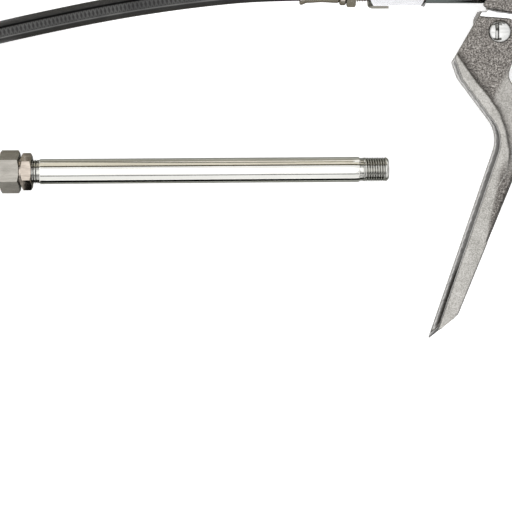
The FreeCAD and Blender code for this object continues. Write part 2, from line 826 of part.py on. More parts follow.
def make_shaft():
    bevel = "shaft_bevel"
    end = "shaft_length / 2"
    rod = plain_turned([
        (0, 0),
        (0, f"shaft_dia / 2 - {bevel}"),
        (bevel, "shaft_dia / 2"),
        (f"shaft_length - {bevel}", "shaft_dia / 2"),
        ("shaft_length", f"shaft_dia / 2 - {bevel}"),
        ("shaft_length", 0),
    ])
    rod.Placement = Placement(at(0, 0, -value_of(end)), Rotation(Y_AXIS, -90))
    middle = at(-size("shaft_slot_off"), 0, value_of(end))
    slot = tool_box("shaft_slot", "shaft_slot_long", "shaft_slot_deep", middle)
    keep(cut(rod, [slot, cross_pin_tool()]), "pivot_shaft", GUN)
    keep(cross_pin_tool(), "rocker_cross_pin", GUN)


def make_rocker():
    low = -size("rocker_thick") / 2
    tip = rocker_direction() * size("rocker_reach")
    arm = tool_box("rocker_reach - 1", "rocker_neck", "rocker_thick", at(0, 0))
    angle = 90 - size("rocker_angle")
    arm.Placement = Placement(tip * 0.5, Rotation(Z_AXIS, angle)) * Placement(
        at(-(size("rocker_reach") - 1) / 2, -size("rocker_neck") / 2, low), Rotation()
    )
    solid = joined([
        tool_cylinder("rocker_hub", "rocker_thick", at(0, 0, low), Z_AXIS),
        tool_cylinder("rocker_nose", "rocker_thick", tip + at(0, 0, low), Z_AXIS),
        arm,
    ])
    bore = tool_cylinder("shaft_dia", "rocker_thick + 2", at(0, 0, low - 1), Z_AXIS)
    keep(cut(solid, [bore, cross_pin_tool()]), "rocker_arm", GUN)


def make_shaft_seals():
    rings = []
    for side in (-1, 1):
        low = side * size("seal_out") - size("seal_wide") / 2
        outer = tool_cylinder("seal_outer", "seal_wide", at(0, 0, low), Z_AXIS)
        inner = tool_cylinder("seal_inner", "seal_wide + 1", at(0, 0, low - 0.5), Z_AXIS)
        rings.append(cut(outer, [inner]))
    keep(grouped(rings), "shaft_seals", GUN)


def make_lever_spring():
    """A compression spring from the web of the lever to the front of the tang."""
    start = at(size("spring_low_across"), size("spring_low_up"))
    end = at(size("spring_high_across"), size("spring_high_up"))
    run = end - start
    place = GUN * Placement(start, Rotation(X_AXIS, run))
    seat = size("spring_seat")
    length = run.Length - 2 * seat
    coil("lever_spring", place, seat, length, size("lever_coil"), size("lever_wire"), size("lever_turns"))


# ---------------------------------------------------------------- pump
def make_plunger():
    neck = size("pump_back") - size("slot_centre") + size("crosshead_slot") / 2
    front = neck + size("crosshead_wall")
    rear = size("pump_back") - size("slot_centre") - size("crosshead_slot") / 2 - size("crosshead_wall")
    block = tool_cylinder("crosshead_dia", front - rear, at(rear, 0), X_AXIS)
    slot_depth = size("crosshead_dia")
    slot_top = size("rocker_reach") - size("pump_up") + size("rocker_nose") / 2 - 0.4
    slot = tool_box(
        "crosshead_slot",
        "crosshead_dia",
        "rocker_thick + 0.3",
        at(size("pump_back") - size("slot_centre"), slot_top - slot_depth / 2),
    )
    stem = tool_cylinder("outlet_bore", "crosshead_wall + 1", at(neck - 0.5, 0), X_AXIS)
    relief = tool_box(
        "crosshead_slot",
        "crosshead_dia",
        "rocker_thick + 0.3",
        at(neck, -size("rocker_relief") - size("crosshead_dia") / 2),
    )
    keep(cut(block, [slot, stem, relief]), "crosshead", PUMP)
    turned("plunger", PUMP, [
        (neck, 0),
        (neck, "outlet_bore / 2"),
        (front, "outlet_bore / 2"),
        (front, "plunger_dia / 2"),
        ("plunger_tip - 0.4", "plunger_dia / 2"),
        ("plunger_tip", "plunger_dia / 2 - 0.4"),
        ("plunger_tip", 0),
    ])


def make_cylinder():
    start = "chamber_end + 0.2"
    tube = plain_turned([
        (start, "cylinder_bore / 2"),
        ("cylinder_depth", "cylinder_bore / 2"),
        ("cylinder_depth", "outlet_bore / 2"),
        ("cylinder_end", "outlet_bore / 2"),
        ("cylinder_end", "cylinder_dia / 2"),
        (start, "cylinder_dia / 2"),
    ])
    port = tool_cylinder("port_dia", "cylinder_dia", at(size("port_at"), 0), Y_AXIS)
    keep(cut(tube, [port]), "pump_cylinder", PUMP)


def make_check_valve():
    length = "sleeve_end - sleeve_start"
    hexagon = hex_collar("sleeve_hex", "sleeve_start", length, "sleeve_chamfer", "sleeve_lead")
    seat = at(size("sleeve_start") - 1, 0)
    bores = [
        tool_cylinder("cylinder_dia", "cylinder_end - sleeve_start + 1", seat, X_AXIS),
        tool_cylinder("valve_bore", "sleeve_end - sleeve_start", at(size("sleeve_start"), 0), X_AXIS),
        tool_cylinder("fitting_thread", "sleeve_end", at(size("fitting_start"), 0), X_AXIS),
    ]
    turn = Placement(IN_PLACE.Base, Rotation(X_AXIS, size("sleeve_turn")))
    keep(cut(hexagon, bores), "union_sleeve", PUMP * turn)
    radius = size("ball_dia") / 2
    hole = size("outlet_bore") / 2
    centre = size("cylinder_end") + math.sqrt(radius * radius - hole * hole) + 0.02
    ball = doc.addObject("Part::Sphere", "ball")
    ball.setExpression("Radius", bound("ball_dia / 2"))
    keep(ball, "check_ball", PUMP * Placement(at(centre, 0), Rotation()))
    wire = size("check_wire")
    start = centre + radius * 0.72 + wire
    free = size("fitting_start") - start - wire / 2 - 0.05
    coil("check_spring", PUMP, start, free, size("check_coil"), wire, size("check_turns"))


def make_hose_fitting(label, place):
    """Thread, hexagon, collar and the barb that the ferrule crimps the hose on."""
    solid = joined([
        plain_turned([
            ("fitting_start", 0),
            ("fitting_start", "fitting_thread / 2 - 0.8"),
            ("fitting_start + 0.8", "fitting_thread / 2"),
            ("fitting_thread_end", "fitting_thread / 2"),
            ("fitting_thread_end", 0),
        ]),
        hex_collar(
            "fitting_hex", "fitting_thread_end", "fitting_hex_end - fitting_thread_end", 0.7, 0.35
        ),
        plain_turned([
            ("fitting_hex_end", 0),
            ("fitting_hex_end", "fitting_collar / 2 - 0.5"),
            ("fitting_hex_end + 0.5", "fitting_collar / 2"),
            ("fitting_collar_end - 0.5", "fitting_collar / 2"),
            ("fitting_collar_end", "fitting_collar / 2 - 0.5"),
            ("fitting_collar_end", "barb_dia / 2"),
            ("barb_end", "barb_dia / 2"),
            ("barb_end", 0),
        ]),
    ])
    way = tool_cylinder("fitting_bore", "barb_end", at(size("fitting_start") - 1, 0), X_AXIS)
    keep(cut(solid, [way]), label, place)


def make_ferrule(label, place):
    turned(label, place, [
        ("fitting_collar_end", "barb_dia / 2"),
        ("barb_end", "barb_dia / 2"),
        ("barb_end", 0),
        ("ferrule_end - hose_socket", 0),
        ("ferrule_end - hose_socket", "hose_dia / 2"),
        ("ferrule_end", "hose_dia / 2"),
        ("ferrule_end", "ferrule_mouth / 2"),
        ("ferrule_end - 1.0", "ferrule_mouth / 2"),
        ("ferrule_end - 2.6", "ferrule_dia / 2"),
        ("fitting_collar_end + 0.6", "ferrule_dia / 2"),
        ("fitting_collar_end", "ferrule_dia / 2 - 0.6"),
    ])


# ---------------------------------------------------------------- barrel
def make_barrel():
    gasket = ring("barrel_start - gasket_thick", "barrel_start - 0.06", "barrel_dia", "gasket_bore")
    turned("barrel_gasket", BARREL, gasket)
    inner = "barrel_dia - 2 * barrel_wall"
    turned("grease_barrel", BARREL, ring("barrel_start", "barrel_end", "barrel_dia", inner))
    turned("barrel_end_cap", BARREL, [
        ("cap_start", "barrel_dia / 2"),
        ("cap_end - cap_floor", "barrel_dia / 2"),
        ("cap_end - cap_floor", "rod_bore / 2"),
        ("cap_end + cap_boss_tall", "rod_bore / 2"),
        ("cap_end + cap_boss_tall", "cap_boss / 2"),
        ("cap_end", "cap_boss_foot / 2"),
        ("cap_end", "cup_dia / 2 - 6"),
        ("cap_end - 2", "cup_dia / 2 - 2.4"),
        ("cap_end - 5", "cup_dia / 2"),
        ("cap_start + 1", "cup_dia / 2"),
        ("cap_start", "cup_dia / 2 - 1"),
    ])


def make_follower():
    start = "piston_start"
    thick = "piston_thick"
    rod = "rod_dia / 2"
    turned("follower_rod", BARREL, [
        ("rod_start", 0),
        ("rod_start", "rod_dia / 2 - 0.8"),
        ("rod_start + 0.8", rod),
        ("rod_end - 1", rod),
        ("rod_end", "rod_dia / 2 - 1"),
        ("rod_end", 0),
    ])
    turned("follower_piston", BARREL, [
        (start, rod),
        (start, "piston_dia / 2"),
        (f"{start} + 1.2", "piston_dia / 2"),
        (f"{start} + 1.2", "piston_dia / 2 - 2"),
        (f"{start} + {thick}", "piston_dia / 2 - 3"),
        (f"{start} + {thick}", rod),
    ])
    turned("follower_seal", BARREL, [
        (f"{start} - cup_back", rod),
        (f"{start} - cup_back", "washer_dia / 2 + 4"),
        (f"{start} - cup_lip", "seal_dia / 2 - 2.2"),
        (f"{start} - cup_lip", "seal_dia / 2"),
        (f"{start}", "seal_dia / 2 - 0.4"),
        (f"{start}", rod),
    ])
    face = f"{start} - cup_back - washer_thick"
    turned("follower_washer", BARREL, ring(face, f"{start} - cup_back", "washer_dia", "rod_dia"))
    nut = hex_collar("rod_nut", f"{face} - rod_nut_thick", "rod_nut_thick")
    hole = tool_cylinder("rod_dia", "20", at(size("piston_start") - 20, 0), X_AXIS)
    keep(cut(nut, [hole]), "follower_nut", BARREL)
    # The long spring is the tube that its turns fill: inside diameter, outside diameter and length.
    turned("follower_spring", BARREL, ring(
        f"{start} + {thick}",
        "cap_end - cap_floor - 0.05",
        "follower_coil + follower_wire",
        "follower_coil - follower_wire",
    ))


def make_rod_handle():
    middle = size("handle_start") + size("handle_dia") / 2
    half = size("handle_span") / 2
    bar = tool_cylinder("handle_dia", "handle_span", at(middle, -half), Y_AXIS)
    front = size("handle_start") - size("handle_boss_lead")
    boss = tool_cylinder("handle_boss", "handle_dia + handle_boss_lead", at(front, 0), X_AXIS)
    hole = tool_cylinder("rod_dia", "handle_dia * 3", at(front - 1, 0), X_AXIS)
    keep(cut(joined([bar, boss]), [hole]), "rod_handle", BARREL)


def make_latch():
    """A lock plate that tips on a pin in the end cap's bracket and bites the rod."""
    middle = size("latch_at") + size("latch_thick") / 2
    drop = -size("latch_drop")
    rise = size("latch_rise")
    wide = size("latch_wide")
    plate = tool_box("latch_thick", "latch_rise + latch_drop", "latch_wide", at(middle, (rise + drop) / 2))
    tab_middle = size("latch_at") + size("latch_tab") / 2
    tab = tool_box("latch_tab", "latch_thick", "latch_wide", at(tab_middle, rise - size("latch_thick") / 2))
    knuckle = tool_cylinder("latch_knuckle", "latch_wide", at(middle, drop, -wide / 2), Z_AXIS)
    hole = tool_cylinder("latch_hole", "latch_thick * 5", at(middle - 5, 0), X_AXIS)
    pin_hole = tool_cylinder("latch_pin_dia + 0.1", "latch_wide + 4", at(middle, drop, -wide / 2 - 2), Z_AXIS)
    keep(cut(joined([plate, tab, knuckle]), [hole, pin_hole]), "rod_latch", BARREL)

    base = size("cap_end")
    ear = size("bracket_ear")
    play = size("latch_play")
    end = middle + size("bracket_reach")
    ears = []
    for side in (-1, 1):
        out = side * (wide / 2 + play + ear / 2)
        ears.append(tool_box(end - base, "bracket_tall", "bracket_ear", at((end + base) / 2, drop, out)))
    foot_middle = at(base + size("bracket_foot") / 2, drop, 0)
    length = wide + 2 * play + 2 * ear
    foot = tool_box("bracket_foot", "bracket_tall", length, foot_middle)
    pin_way = tool_cylinder("latch_pin_dia", "latch_wide * 3", at(middle, drop, -wide * 1.5), Z_AXIS)
    keep(cut(joined(ears + [foot]), [pin_way]), "latch_bracket", BARREL)
    pin = tool_cylinder("latch_pin_dia", length, at(middle, drop, -length / 2), Z_AXIS)
    keep(pin, "latch_pin", BARREL)


# ---------------------------------------------------------------- grip
def make_grip():
    handle = slab("handle_plate", IN_PLACE, "handle", "grip_width")
    pieces.remove(handle)
    cut_pocket(handle, outline_corners("fork"), "grip_tang + 0.1", both=True)
    holes = [
        tool_cylinder("bolt_dia", "grip_width + 2", at(x, y, -size("grip_width") / 2 - 1), Z_AXIS)
        for x, y in bolt_places()
    ]
    keep(cut(handle, holes), "grip_handle", GUN)
    core = tool_slab("handle", "grip_width")
    keep(cut(tool_slab("rubber", "grip_sleeve"), [core]), "grip_sleeve", GUN)


def make_grip_bolts():
    outside = size("grip_width") / 2
    thick = size("bolt_nut_thick")
    beyond = thick + size("bolt_proud")
    bottom = outside + size("bolt_head_tall") - size("bolt_socket_deep")
    bolts = []
    nuts = []
    for x, y in bolt_places():
        end = at(x, y, -outside - beyond)
        shank = tool_cylinder("bolt_dia", "grip_width + bolt_nut_thick + bolt_proud", end, Z_AXIS)
        head = tool_cylinder("bolt_head", "bolt_head_tall", at(x, y, outside), Z_AXIS)
        socket = tool_prism("bolt_socket", "bolt_head_tall", at(x, y, bottom), Z_AXIS)
        bolts.append(cut(joined([shank, head]), [socket]))
        nut = tool_prism("bolt_nut", "bolt_nut_thick", at(x, y, -outside - thick), Z_AXIS)
        hole = tool_cylinder("bolt_dia", "bolt_nut_thick * 3", at(x, y, -outside - 2 * thick), Z_AXIS)
        nuts.append(cut(nut, [hole]))
    keep(grouped(bolts), "grip_bolts", GUN)
    keep(grouped(nuts), "grip_nuts", GUN)


# ---------------------------------------------------------------- grease couplers and the loose pipe
def make_coupler(prefix, place, socket, socket_dia):
    """A four-jaw coupler: nut, jaws, seal, piston, spring and body. Its mouth is at X = 0."""
    turned(prefix + "_nut", place, [
        (0, "mouth_bore / 2"),
        ("nut_step", "mouth_bore / 2"),
        ("nut_step", "coupler_thread / 2"),
        ("nut_length - 0.1", "coupler_thread / 2"),
        ("nut_length - 0.1", "nut_dia / 2 - nut_bevel"),
        ("nut_length - nut_bevel", "nut_dia / 2"),
        ("nut_bevel * 3", "nut_dia / 2"),
        (0, "nut_lip / 2"),
    ])
    jaw_ring = plain_turned(ring("jaw_start", "jaw_end", "jaw_outer", "jaw_mouth"))
    across = "jaw_outer + 2"
    middle = at((size("jaw_start") + size("jaw_end")) / 2, 0)
    slits = [
        tool_box("jaw_end", "jaw_slit", across, middle),
        tool_box("jaw_end", across, "jaw_slit", middle),
    ]
    keep(cut(jaw_ring, slits), prefix + "_jaws", place)
    turned(prefix + "_seal", place, ring("seal_start", "seal_end", "seal_ring", "coupler_bore"))
    turned(prefix + "_piston", place, ring("seal_end", "piston_end", "piston_ring", "coupler_bore"))
    wire = size("jaw_spring_wire")
    begin = size("piston_end") + wire / 2 + 0.05
    length = size("chamber_floor") - wire / 2 - 0.05 - begin
    turns = size("jaw_spring_turns")
    coil(prefix + "_spring", place, begin, length, size("jaw_spring_dia"), wire, turns)
    front = size("body_front")
    blank = joined([
        plain_turned([
            ("body_front", 0),
            ("body_front", "coupler_thread / 2 - 0.05"),
            ("nut_length", "coupler_thread / 2 - 0.05"),
            ("nut_length", "groove_dia / 2"),
            ("body_step", "groove_dia / 2"),
            ("body_step", 0),
        ]),
        hex_collar("body_hex", "body_step", "body_end - body_step"),
    ])
    bores = [
        tool_cylinder("body_chamber", "chamber_floor - body_front + 1", at(front - 1, 0), X_AXIS),
        tool_cylinder("outlet_bore", "body_end", at(front, 0), X_AXIS),
        tool_cylinder(socket_dia, f"body_end - {socket} + 1", at(size(socket), 0), X_AXIS),
    ]
    keep(cut(blank, bores), prefix + "_body", place)


def make_loose_pipe():
    socket = "pipe_socket"
    stub = plain_turned([
        (socket, 0),
        (socket, "pipe_socket_dia / 2"),
        ("body_end", "pipe_socket_dia / 2"),
        ("body_end", "groove_dia / 2 - 0.9"),
        ("adaptor_start", "groove_dia / 2 - 0.9"),
        ("adaptor_start", 0),
    ])
    blank = joined([stub, hex_collar("adaptor_hex", "adaptor_start", "adaptor_end - adaptor_start")])
    ways = [
        tool_cylinder("pipe_stub", "20", at(size("pipe_start"), 0), X_AXIS),
        tool_cylinder("outlet_bore", "20", at(size("pipe_socket") - 1, 0), X_AXIS),
    ]
    keep(cut(blank, ways), "pipe_adaptor", PIPE)
    turned("extension_pipe", PIPE, [
        ("pipe_start", "pipe_bore / 2"),
        ("pipe_end", "pipe_bore / 2"),
        ("pipe_end", "pipe_thread / 2 - pipe_chamfer"),
        ("pipe_end - pipe_chamfer", "pipe_thread / 2"),
        ("pipe_groove_end", "pipe_thread / 2"),
        ("pipe_groove_end", "neck_dia / 2"),
        ("pipe_shoulder", "neck_dia / 2"),
        ("pipe_shoulder", "pipe_dia / 2"),
        ("pipe_neck_end", "pipe_dia / 2"),
        ("pipe_neck_end", "neck_dia / 2"),
        ("adaptor_end", "neck_dia / 2"),
        ("adaptor_end", "pipe_stub / 2"),
        ("pipe_start", "pipe_stub / 2"),
    ])


# ---------------------------------------------------------------- whip hose
# The hose's route, from the pivot: across and along the table, and height. It leaves the front ferrule
# level with the pump line, comes down to the table and runs out along it to its own coupler.
HOSE_ROUTE = [
    (-75.0, 16.304, 28.881),
    (-92.0, 16.1, 28.8),
    (-112.0, 14.6, 26.9),
    (-134.0, 12.6, 20.6),
    (-155.0, 10.2, 12.6),
    (-176.0, 6.8, 6.9),
    (-198.0, 2.3, 4.7),
    (-221.0, -3.4, 4.55),
    (-244.0, -8.6, 4.6),
    (-267.0, -12.4, 4.9),
    (-288.0, -14.2, 6.6),
    (-304.0, -14.9, 7.8),
    (-318.0, -15.2, 7.8),
]


def hose_points():
    return [Vector(size("gun_across") + x, size("gun_along") + y, up) for x, y, up in HOSE_ROUTE]


def cord_path(points):
    """Straight runs joined by tangent arcs, each arc as large as its two runs allow."""
    edges = []
    radii = []
    here = points[0]
    for before, corner, after in zip(points, points[1:], points[2:]):
        back = before - corner
        ahead = after - corner
        shorter = min(back.Length, ahead.Length)
        back.normalize()
        ahead.normalize()
        turn = math.pi - back.getAngle(ahead)
        reach = 0.45 * shorter
        radius = reach / math.tan(turn / 2)
        start = corner + back * reach
        end = corner + ahead * reach
        inward = back + ahead
        inward.normalize()
        middle = corner + inward * (radius / math.cos(turn / 2) - radius)
        edges.append(Part.LineSegment(here, start).toShape())
        edges.append(Part.Arc(start, middle, end).toShape())
        radii.append(radius)
        here = end
    edges.append(Part.LineSegment(here, points[-1]).toShape())
    return Part.Wire(edges), radii


def make_hose():
    points = hose_points()
    path, radii = cord_path(points)
    lead = points[1] - points[0]
    section = Part.Wire([Part.Circle(points[0], lead, size("hose_dia") / 2).toShape()])
    tube = path.makePipeShell([section], True, False)
    if tube.Volume < 0:
        tube.reverse()
    expected = math.pi * size("hose_dia") ** 2 / 4 * path.Length
    print("hose length", round(path.Length, 1), "radii", [round(r) for r in radii])
    print("hose volume over section times length", round(tube.Volume / expected, 4))
    hose = doc.addObject("Part::Feature", "hose")
    hose.Shape = tube
    keep(hose, "hose", IN_PLACE)


def hose_end_place():
    """The pump frame again, turned so that its ferrule's socket meets the far end of the hose."""
    points = hose_points()
    back = points[-2] - points[-1]
    socket = size("ferrule_end") - size("hose_socket")
    return Placement(points[-1], Rotation(X_AXIS, back)) * Placement(at(-socket, 0), Rotation())


make_head()
make_top_fittings()
make_lever()
make_shaft()
make_rocker()
make_shaft_seals()
make_lever_spring()
make_plunger()
make_cylinder()
make_check_valve()
make_hose_fitting("hose_fitting", PUMP)
make_ferrule("front_ferrule", PUMP)
make_barrel()
make_follower()
make_rod_handle()
make_latch()
make_grip()
make_grip_bolts()
make_coupler("pipe_coupler", PIPE, "pipe_socket", "pipe_socket_dia")
make_loose_pipe()
make_hose()
END = hose_end_place()
make_hose_fitting("hose_end_fitting", END)
make_ferrule("rear_ferrule", END)
shift = size("fitting_start") - size("hose_socket_at")
make_coupler("hose_coupler", END * Placement(at(shift, 0), Rotation()), "hose_socket_at", "fitting_thread")

# ---------------------------------------------------------------- check and write
doc.recompute()
for item in doc.Objects:
    if "Invalid" in item.State or "Error" in item.State:
        raise RuntimeError(f"{item.Name} ({item.Label}) is {item.State}")
os.makedirs("parts", exist_ok=True)
for old in os.listdir("parts"):
    os.remove(os.path.join("parts", old))
whole = FreeCAD.BoundBox()
for piece in pieces:
    shape = piece.Shape
    if shape.isNull() or not shape.isValid() or not shape.Solids:
        raise RuntimeError(f"{piece.Label} has no valid solid")
    shape.exportStep(f"parts/{piece.Label}.step")
    if not piece.Label.startswith(("hose", "rear_ferrule")) or piece.Label == "hose_fitting":
        whole.add(shape.BoundBox)
print(len(pieces), "pieces; without the hose they span", whole)
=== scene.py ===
import json
import math

import bmesh
import bpy
import numpy as np
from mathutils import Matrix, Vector, kdtree, noise


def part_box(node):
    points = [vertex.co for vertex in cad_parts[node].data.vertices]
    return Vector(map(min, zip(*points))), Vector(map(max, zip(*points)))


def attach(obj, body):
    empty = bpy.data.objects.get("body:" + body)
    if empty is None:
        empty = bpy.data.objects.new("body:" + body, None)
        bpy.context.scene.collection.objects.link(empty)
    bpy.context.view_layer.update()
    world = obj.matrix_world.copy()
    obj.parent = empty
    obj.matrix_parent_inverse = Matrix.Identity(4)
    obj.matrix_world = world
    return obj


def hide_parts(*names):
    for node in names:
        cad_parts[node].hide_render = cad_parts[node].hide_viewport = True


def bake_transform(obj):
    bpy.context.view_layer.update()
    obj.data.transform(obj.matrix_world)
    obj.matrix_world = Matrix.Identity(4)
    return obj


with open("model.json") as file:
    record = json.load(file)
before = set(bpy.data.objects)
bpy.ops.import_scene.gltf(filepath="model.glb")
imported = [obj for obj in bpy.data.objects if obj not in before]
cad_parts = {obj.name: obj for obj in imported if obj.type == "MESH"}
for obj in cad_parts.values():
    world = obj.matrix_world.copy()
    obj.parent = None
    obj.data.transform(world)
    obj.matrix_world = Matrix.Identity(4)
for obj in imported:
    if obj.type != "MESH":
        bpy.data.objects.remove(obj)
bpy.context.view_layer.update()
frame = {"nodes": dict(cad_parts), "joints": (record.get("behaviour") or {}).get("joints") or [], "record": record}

MM = 0.001
TURN = 2 * math.pi
X_AXIS = Vector((1, 0, 0))
Z_AXIS = Vector((0, 0, 1))

joints = {joint["name"]: joint for joint in frame["joints"]}
mounts = {mount["name"]: mount for mount in frame["record"]["mounts"]}


# ---------------------------------------------------------------- the gun's own directions
class Local:
    """A local frame of the object: a point, its X, Y and Z, and lengths in millimetres."""

    def __init__(self, origin, x_axis, z_axis):
        self.origin = Vector(origin)
        self.x = Vector(x_axis).normalized()
        self.y = Vector(z_axis).cross(self.x).normalized()
        self.z = self.x.cross(self.y).normalized()

    def point(self, x, y=0.0, z=0.0):
        return self.origin + (self.x * x + self.y * y + self.z * z) * MM


pivot = Vector(joints["lever_squeeze"]["pos_m"])
GUN = Local(pivot, X_AXIS, joints["lever_squeeze"]["axis"])


def middle_of(node):
    low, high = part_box(node)
    return (low + high) / 2


def end_frame(node, x_axis, z_axis):
    """A frame on a node's axis, at the end that X leads away from."""
    low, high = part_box(node)
    middle = (low + high) / 2
    reach = abs(x_axis[0])
    half = (high.x - low.x) / 2 / reach
    return Local(middle - Vector(x_axis).normalized() * half, x_axis, z_axis)


def coupler_frame(prefix, axis):
    """At a coupler's mouth, on its axis. The mount stands at the middle of its jaws."""
    jaws_middle = 4.4
    middle = Vector(mounts[prefix + "_coupler_mouth"]["pos_m"])
    return Local(middle - axis * jaws_middle * MM, axis, Z_AXIS)


def moved(place, along):
    """The same directions, from a point further along X."""
    return Local(place.point(along), place.x, place.z)


pipe_axis = Vector(joints["pipe_nut_turn"]["axis"])
hose_end_axis = Vector(joints["hose_nut_turn"]["axis"])
PIPE = coupler_frame("pipe", pipe_axis)
HOSE_END = coupler_frame("hose", hose_end_axis)


# ---------------------------------------------------------------- camera
def make_camera():
    """The camera looks straight down on the lever side of the gun."""
    right_of_pivot = -93.9
    up_of_pivot = -87.4
    above_table = 745.5
    view_angle = 15.82
    data = bpy.data.cameras.new("camera")
    data.sensor_fit = "HORIZONTAL"
    data.angle = math.radians(view_angle)
    data.clip_start = 0.01
    camera = bpy.data.objects.new("camera", data)
    camera.location = (pivot.x + right_of_pivot * MM, pivot.y + up_of_pivot * MM, above_table * MM)
    bpy.context.scene.collection.objects.link(camera)
    bpy.context.scene.camera = camera
    bpy.context.scene.view_settings.view_transform = "Standard"
    return camera


# ---------------------------------------------------------------- materials
class Nodes:
    """A small helper that lays a material's nodes."""

    def __init__(self, name):
        self.material = bpy.data.materials.new(name)
        self.material.use_nodes = True
        self.tree = self.material.node_tree
        self.shader = self.tree.nodes["Principled BSDF"]
        self.place = self.add("ShaderNodeTexCoord").outputs["Object"]

    def add(self, kind, **settings):
        node = self.tree.nodes.new(kind)
        for key, value in settings.items():
            setattr(node, key, value)
        return node

    def link(self, output, target):
        self.tree.links.new(output, target)

    def scaled(self, scale):
        """The object's coordinates, stretched by three factors."""
        mapping = self.add("ShaderNodeMapping")
        mapping.inputs["Scale"].default_value = scale
        self.link(self.place, mapping.inputs["Vector"])
        return mapping.outputs["Vector"]

    def noise(self, cell_mm, detail=3.0, stretch=(1, 1, 1), rough=0.55):
        node = self.add("ShaderNodeTexNoise")
        node.inputs["Scale"].default_value = 1 / (cell_mm * MM)
        node.inputs["Detail"].default_value = detail
        node.inputs["Roughness"].default_value = rough
        self.link(self.scaled(stretch), node.inputs["Vector"])
        return node.outputs["Fac"]

    def attribute(self, name):
        return self.add("ShaderNodeAttribute", attribute_name=name).outputs["Fac"]

    def ramp(self, value, *stops):
        """Stops are (position, colour)."""
        node = self.add("ShaderNodeValToRGB")
        elements = node.color_ramp.elements
        elements[0].position, elements[0].color = stops[0][0], (*stops[0][1], 1)
        elements[1].position, elements[1].color = stops[-1][0], (*stops[-1][1], 1)
        for position, colour in stops[1:-1]:
            elements.new(position).color = (*colour, 1)
        self.link(value, node.inputs["Fac"])
        return node.outputs["Color"]

    def span(self, value, low, high, start=0.0, end=1.0):
        """A value led from one span to another."""
        node = self.add("ShaderNodeMapRange")
        for key, number in zip(("From Min", "From Max", "To Min", "To Max"), (start, end, low, high)):
            node.inputs[key].default_value = number
        self.link(value, node.inputs["Value"])
        return node.outputs["Result"]

    def maths(self, kind, first, second):
        node = self.add("ShaderNodeMath", operation=kind)
        for socket, value in zip(node.inputs, (first, second)):
            if isinstance(value, (int, float)):
                socket.default_value = value
            else:
                self.link(value, socket)
        return node.outputs["Value"]

    def mix(self, factor, first, second):
        node = self.add("ShaderNodeMix", data_type="RGBA")
        self.link(factor, node.inputs["Factor"])
        self.link(first, node.inputs[6])
        self.link(second, node.inputs[7])
        return node.outputs[2]

    def bump(self, height, depth_mm, strength=1.0):
        node = self.add("ShaderNodeBump")
        node.inputs["Distance"].default_value = depth_mm * MM
        node.inputs["Strength"].default_value = strength
        self.link(height, node.inputs["Height"])
        self.link(node.outputs["Normal"], self.shader.inputs["Normal"])

    def set(self, **values):
        for key, value in values.items():
            self.shader.inputs[key.replace("_", " ")].default_value = value

    def feed(self, name, output):
        self.link(output, self.shader.inputs[name])


def plated(name, dark, light, rough, cell=7.0, streak=0.25, grain_depth=0.003, edge=0.45, with_stain_and_painted_shade=False):
    """Turned and plated metal: soft colour clouds, fine lengthwise streaks and a faint grain."""
    # These dark stops are laid by an attribute: painted shade on the union's cones and on the pipe's neck, thread
    # and bore, and the darker marks on the pivot shaft's end.
    stain_and_shade_stops = [(0.36, (0.02, 0.02, 0.018)), (0.5, (0.09, 0.09, 0.08)), (0.64, (0.26, 0.26, 0.24))]
    n = Nodes(name)
    n.set(Metallic=1.0, Specular_Tint=(edge, edge, edge, 1))
    clouds = n.noise(cell, 3.0, (streak, 1, 1))
    colour = n.ramp(clouds, (0.32, dark), (0.68, light))
    if with_stain_and_painted_shade:
        colour = n.mix(n.attribute("stain_and_painted_shade"), colour, n.ramp(n.noise(0.9, 3.0), *stain_and_shade_stops))
    n.feed("Base Color", colour)
    fine = n.noise(0.6, 2.0, (streak * 0.4, 1, 1))
    n.feed("Roughness", n.span(fine, rough * 0.75, rough * 1.3, 0.3, 0.7))
    n.bump(n.noise(0.35, 2.0), grain_depth)
    return n.material


def cast_metal():
    """Blasted zinc: dark pitted grain on the rough faces, satin on the rubbed lips, bright where milled and where
    light is painted, dark where shade is painted.
    """
    pitted_stops = [(0.34, (0.05, 0.045, 0.042)), (0.5, (0.21, 0.195, 0.18)), (0.66, (0.56, 0.53, 0.50))]
    n = Nodes("cast_zinc")
    n.set(Metallic=1.0)
    grain = n.attribute("grain")
    milled_and_painted_light = n.attribute("milled_and_painted_light")
    speckle = n.noise(0.58, 4.0, (1, 1, 1), 0.7)
    clouds = n.noise(9.0, 3.0)
    rough_colour = n.ramp(speckle, *pitted_stops)
    fine = n.noise(0.45, 2.0)
    satin_light = n.ramp(clouds, (0.3, (0.34, 0.33, 0.31)), (0.7, (0.41, 0.40, 0.38)))
    satin_dark = n.ramp(clouds, (0.3, (0.20, 0.195, 0.18)), (0.7, (0.26, 0.25, 0.235)))
    satin_colour = n.mix(n.span(fine, 0.0, 1.0, 0.38, 0.62), satin_dark, satin_light)
    # This dark colour is painted shade, for the lever's step, back rim, band and channel.
    painted_shade_colour = n.ramp(speckle, (0.35, (0.03, 0.028, 0.026)), (0.65, (0.15, 0.14, 0.13)))
    # This bright colour serves milled faces, and also painted light on the lever's far lip.
    milled_and_painted_light_colour = n.ramp(clouds, (0.3, (0.90, 0.90, 0.92)), (0.7, (0.97, 0.97, 0.99)))
    colour = n.mix(n.attribute("painted_shade"), n.mix(grain, satin_colour, rough_colour), painted_shade_colour)
    n.feed("Base Color", n.mix(milled_and_painted_light, colour, milled_and_painted_light_colour))
    satin = n.span(n.noise(1.2, 2.0), 0.30, 0.42, 0.3, 0.7)
    rough = n.maths("ADD", satin, n.maths("MULTIPLY", grain, 0.14))
    n.feed("Roughness", rough)
    height = n.maths("MULTIPLY", speckle, n.maths("ADD", n.maths("MULTIPLY", grain, 0.95), 0.05))
    n.bump(height, 0.30)
    return n.material


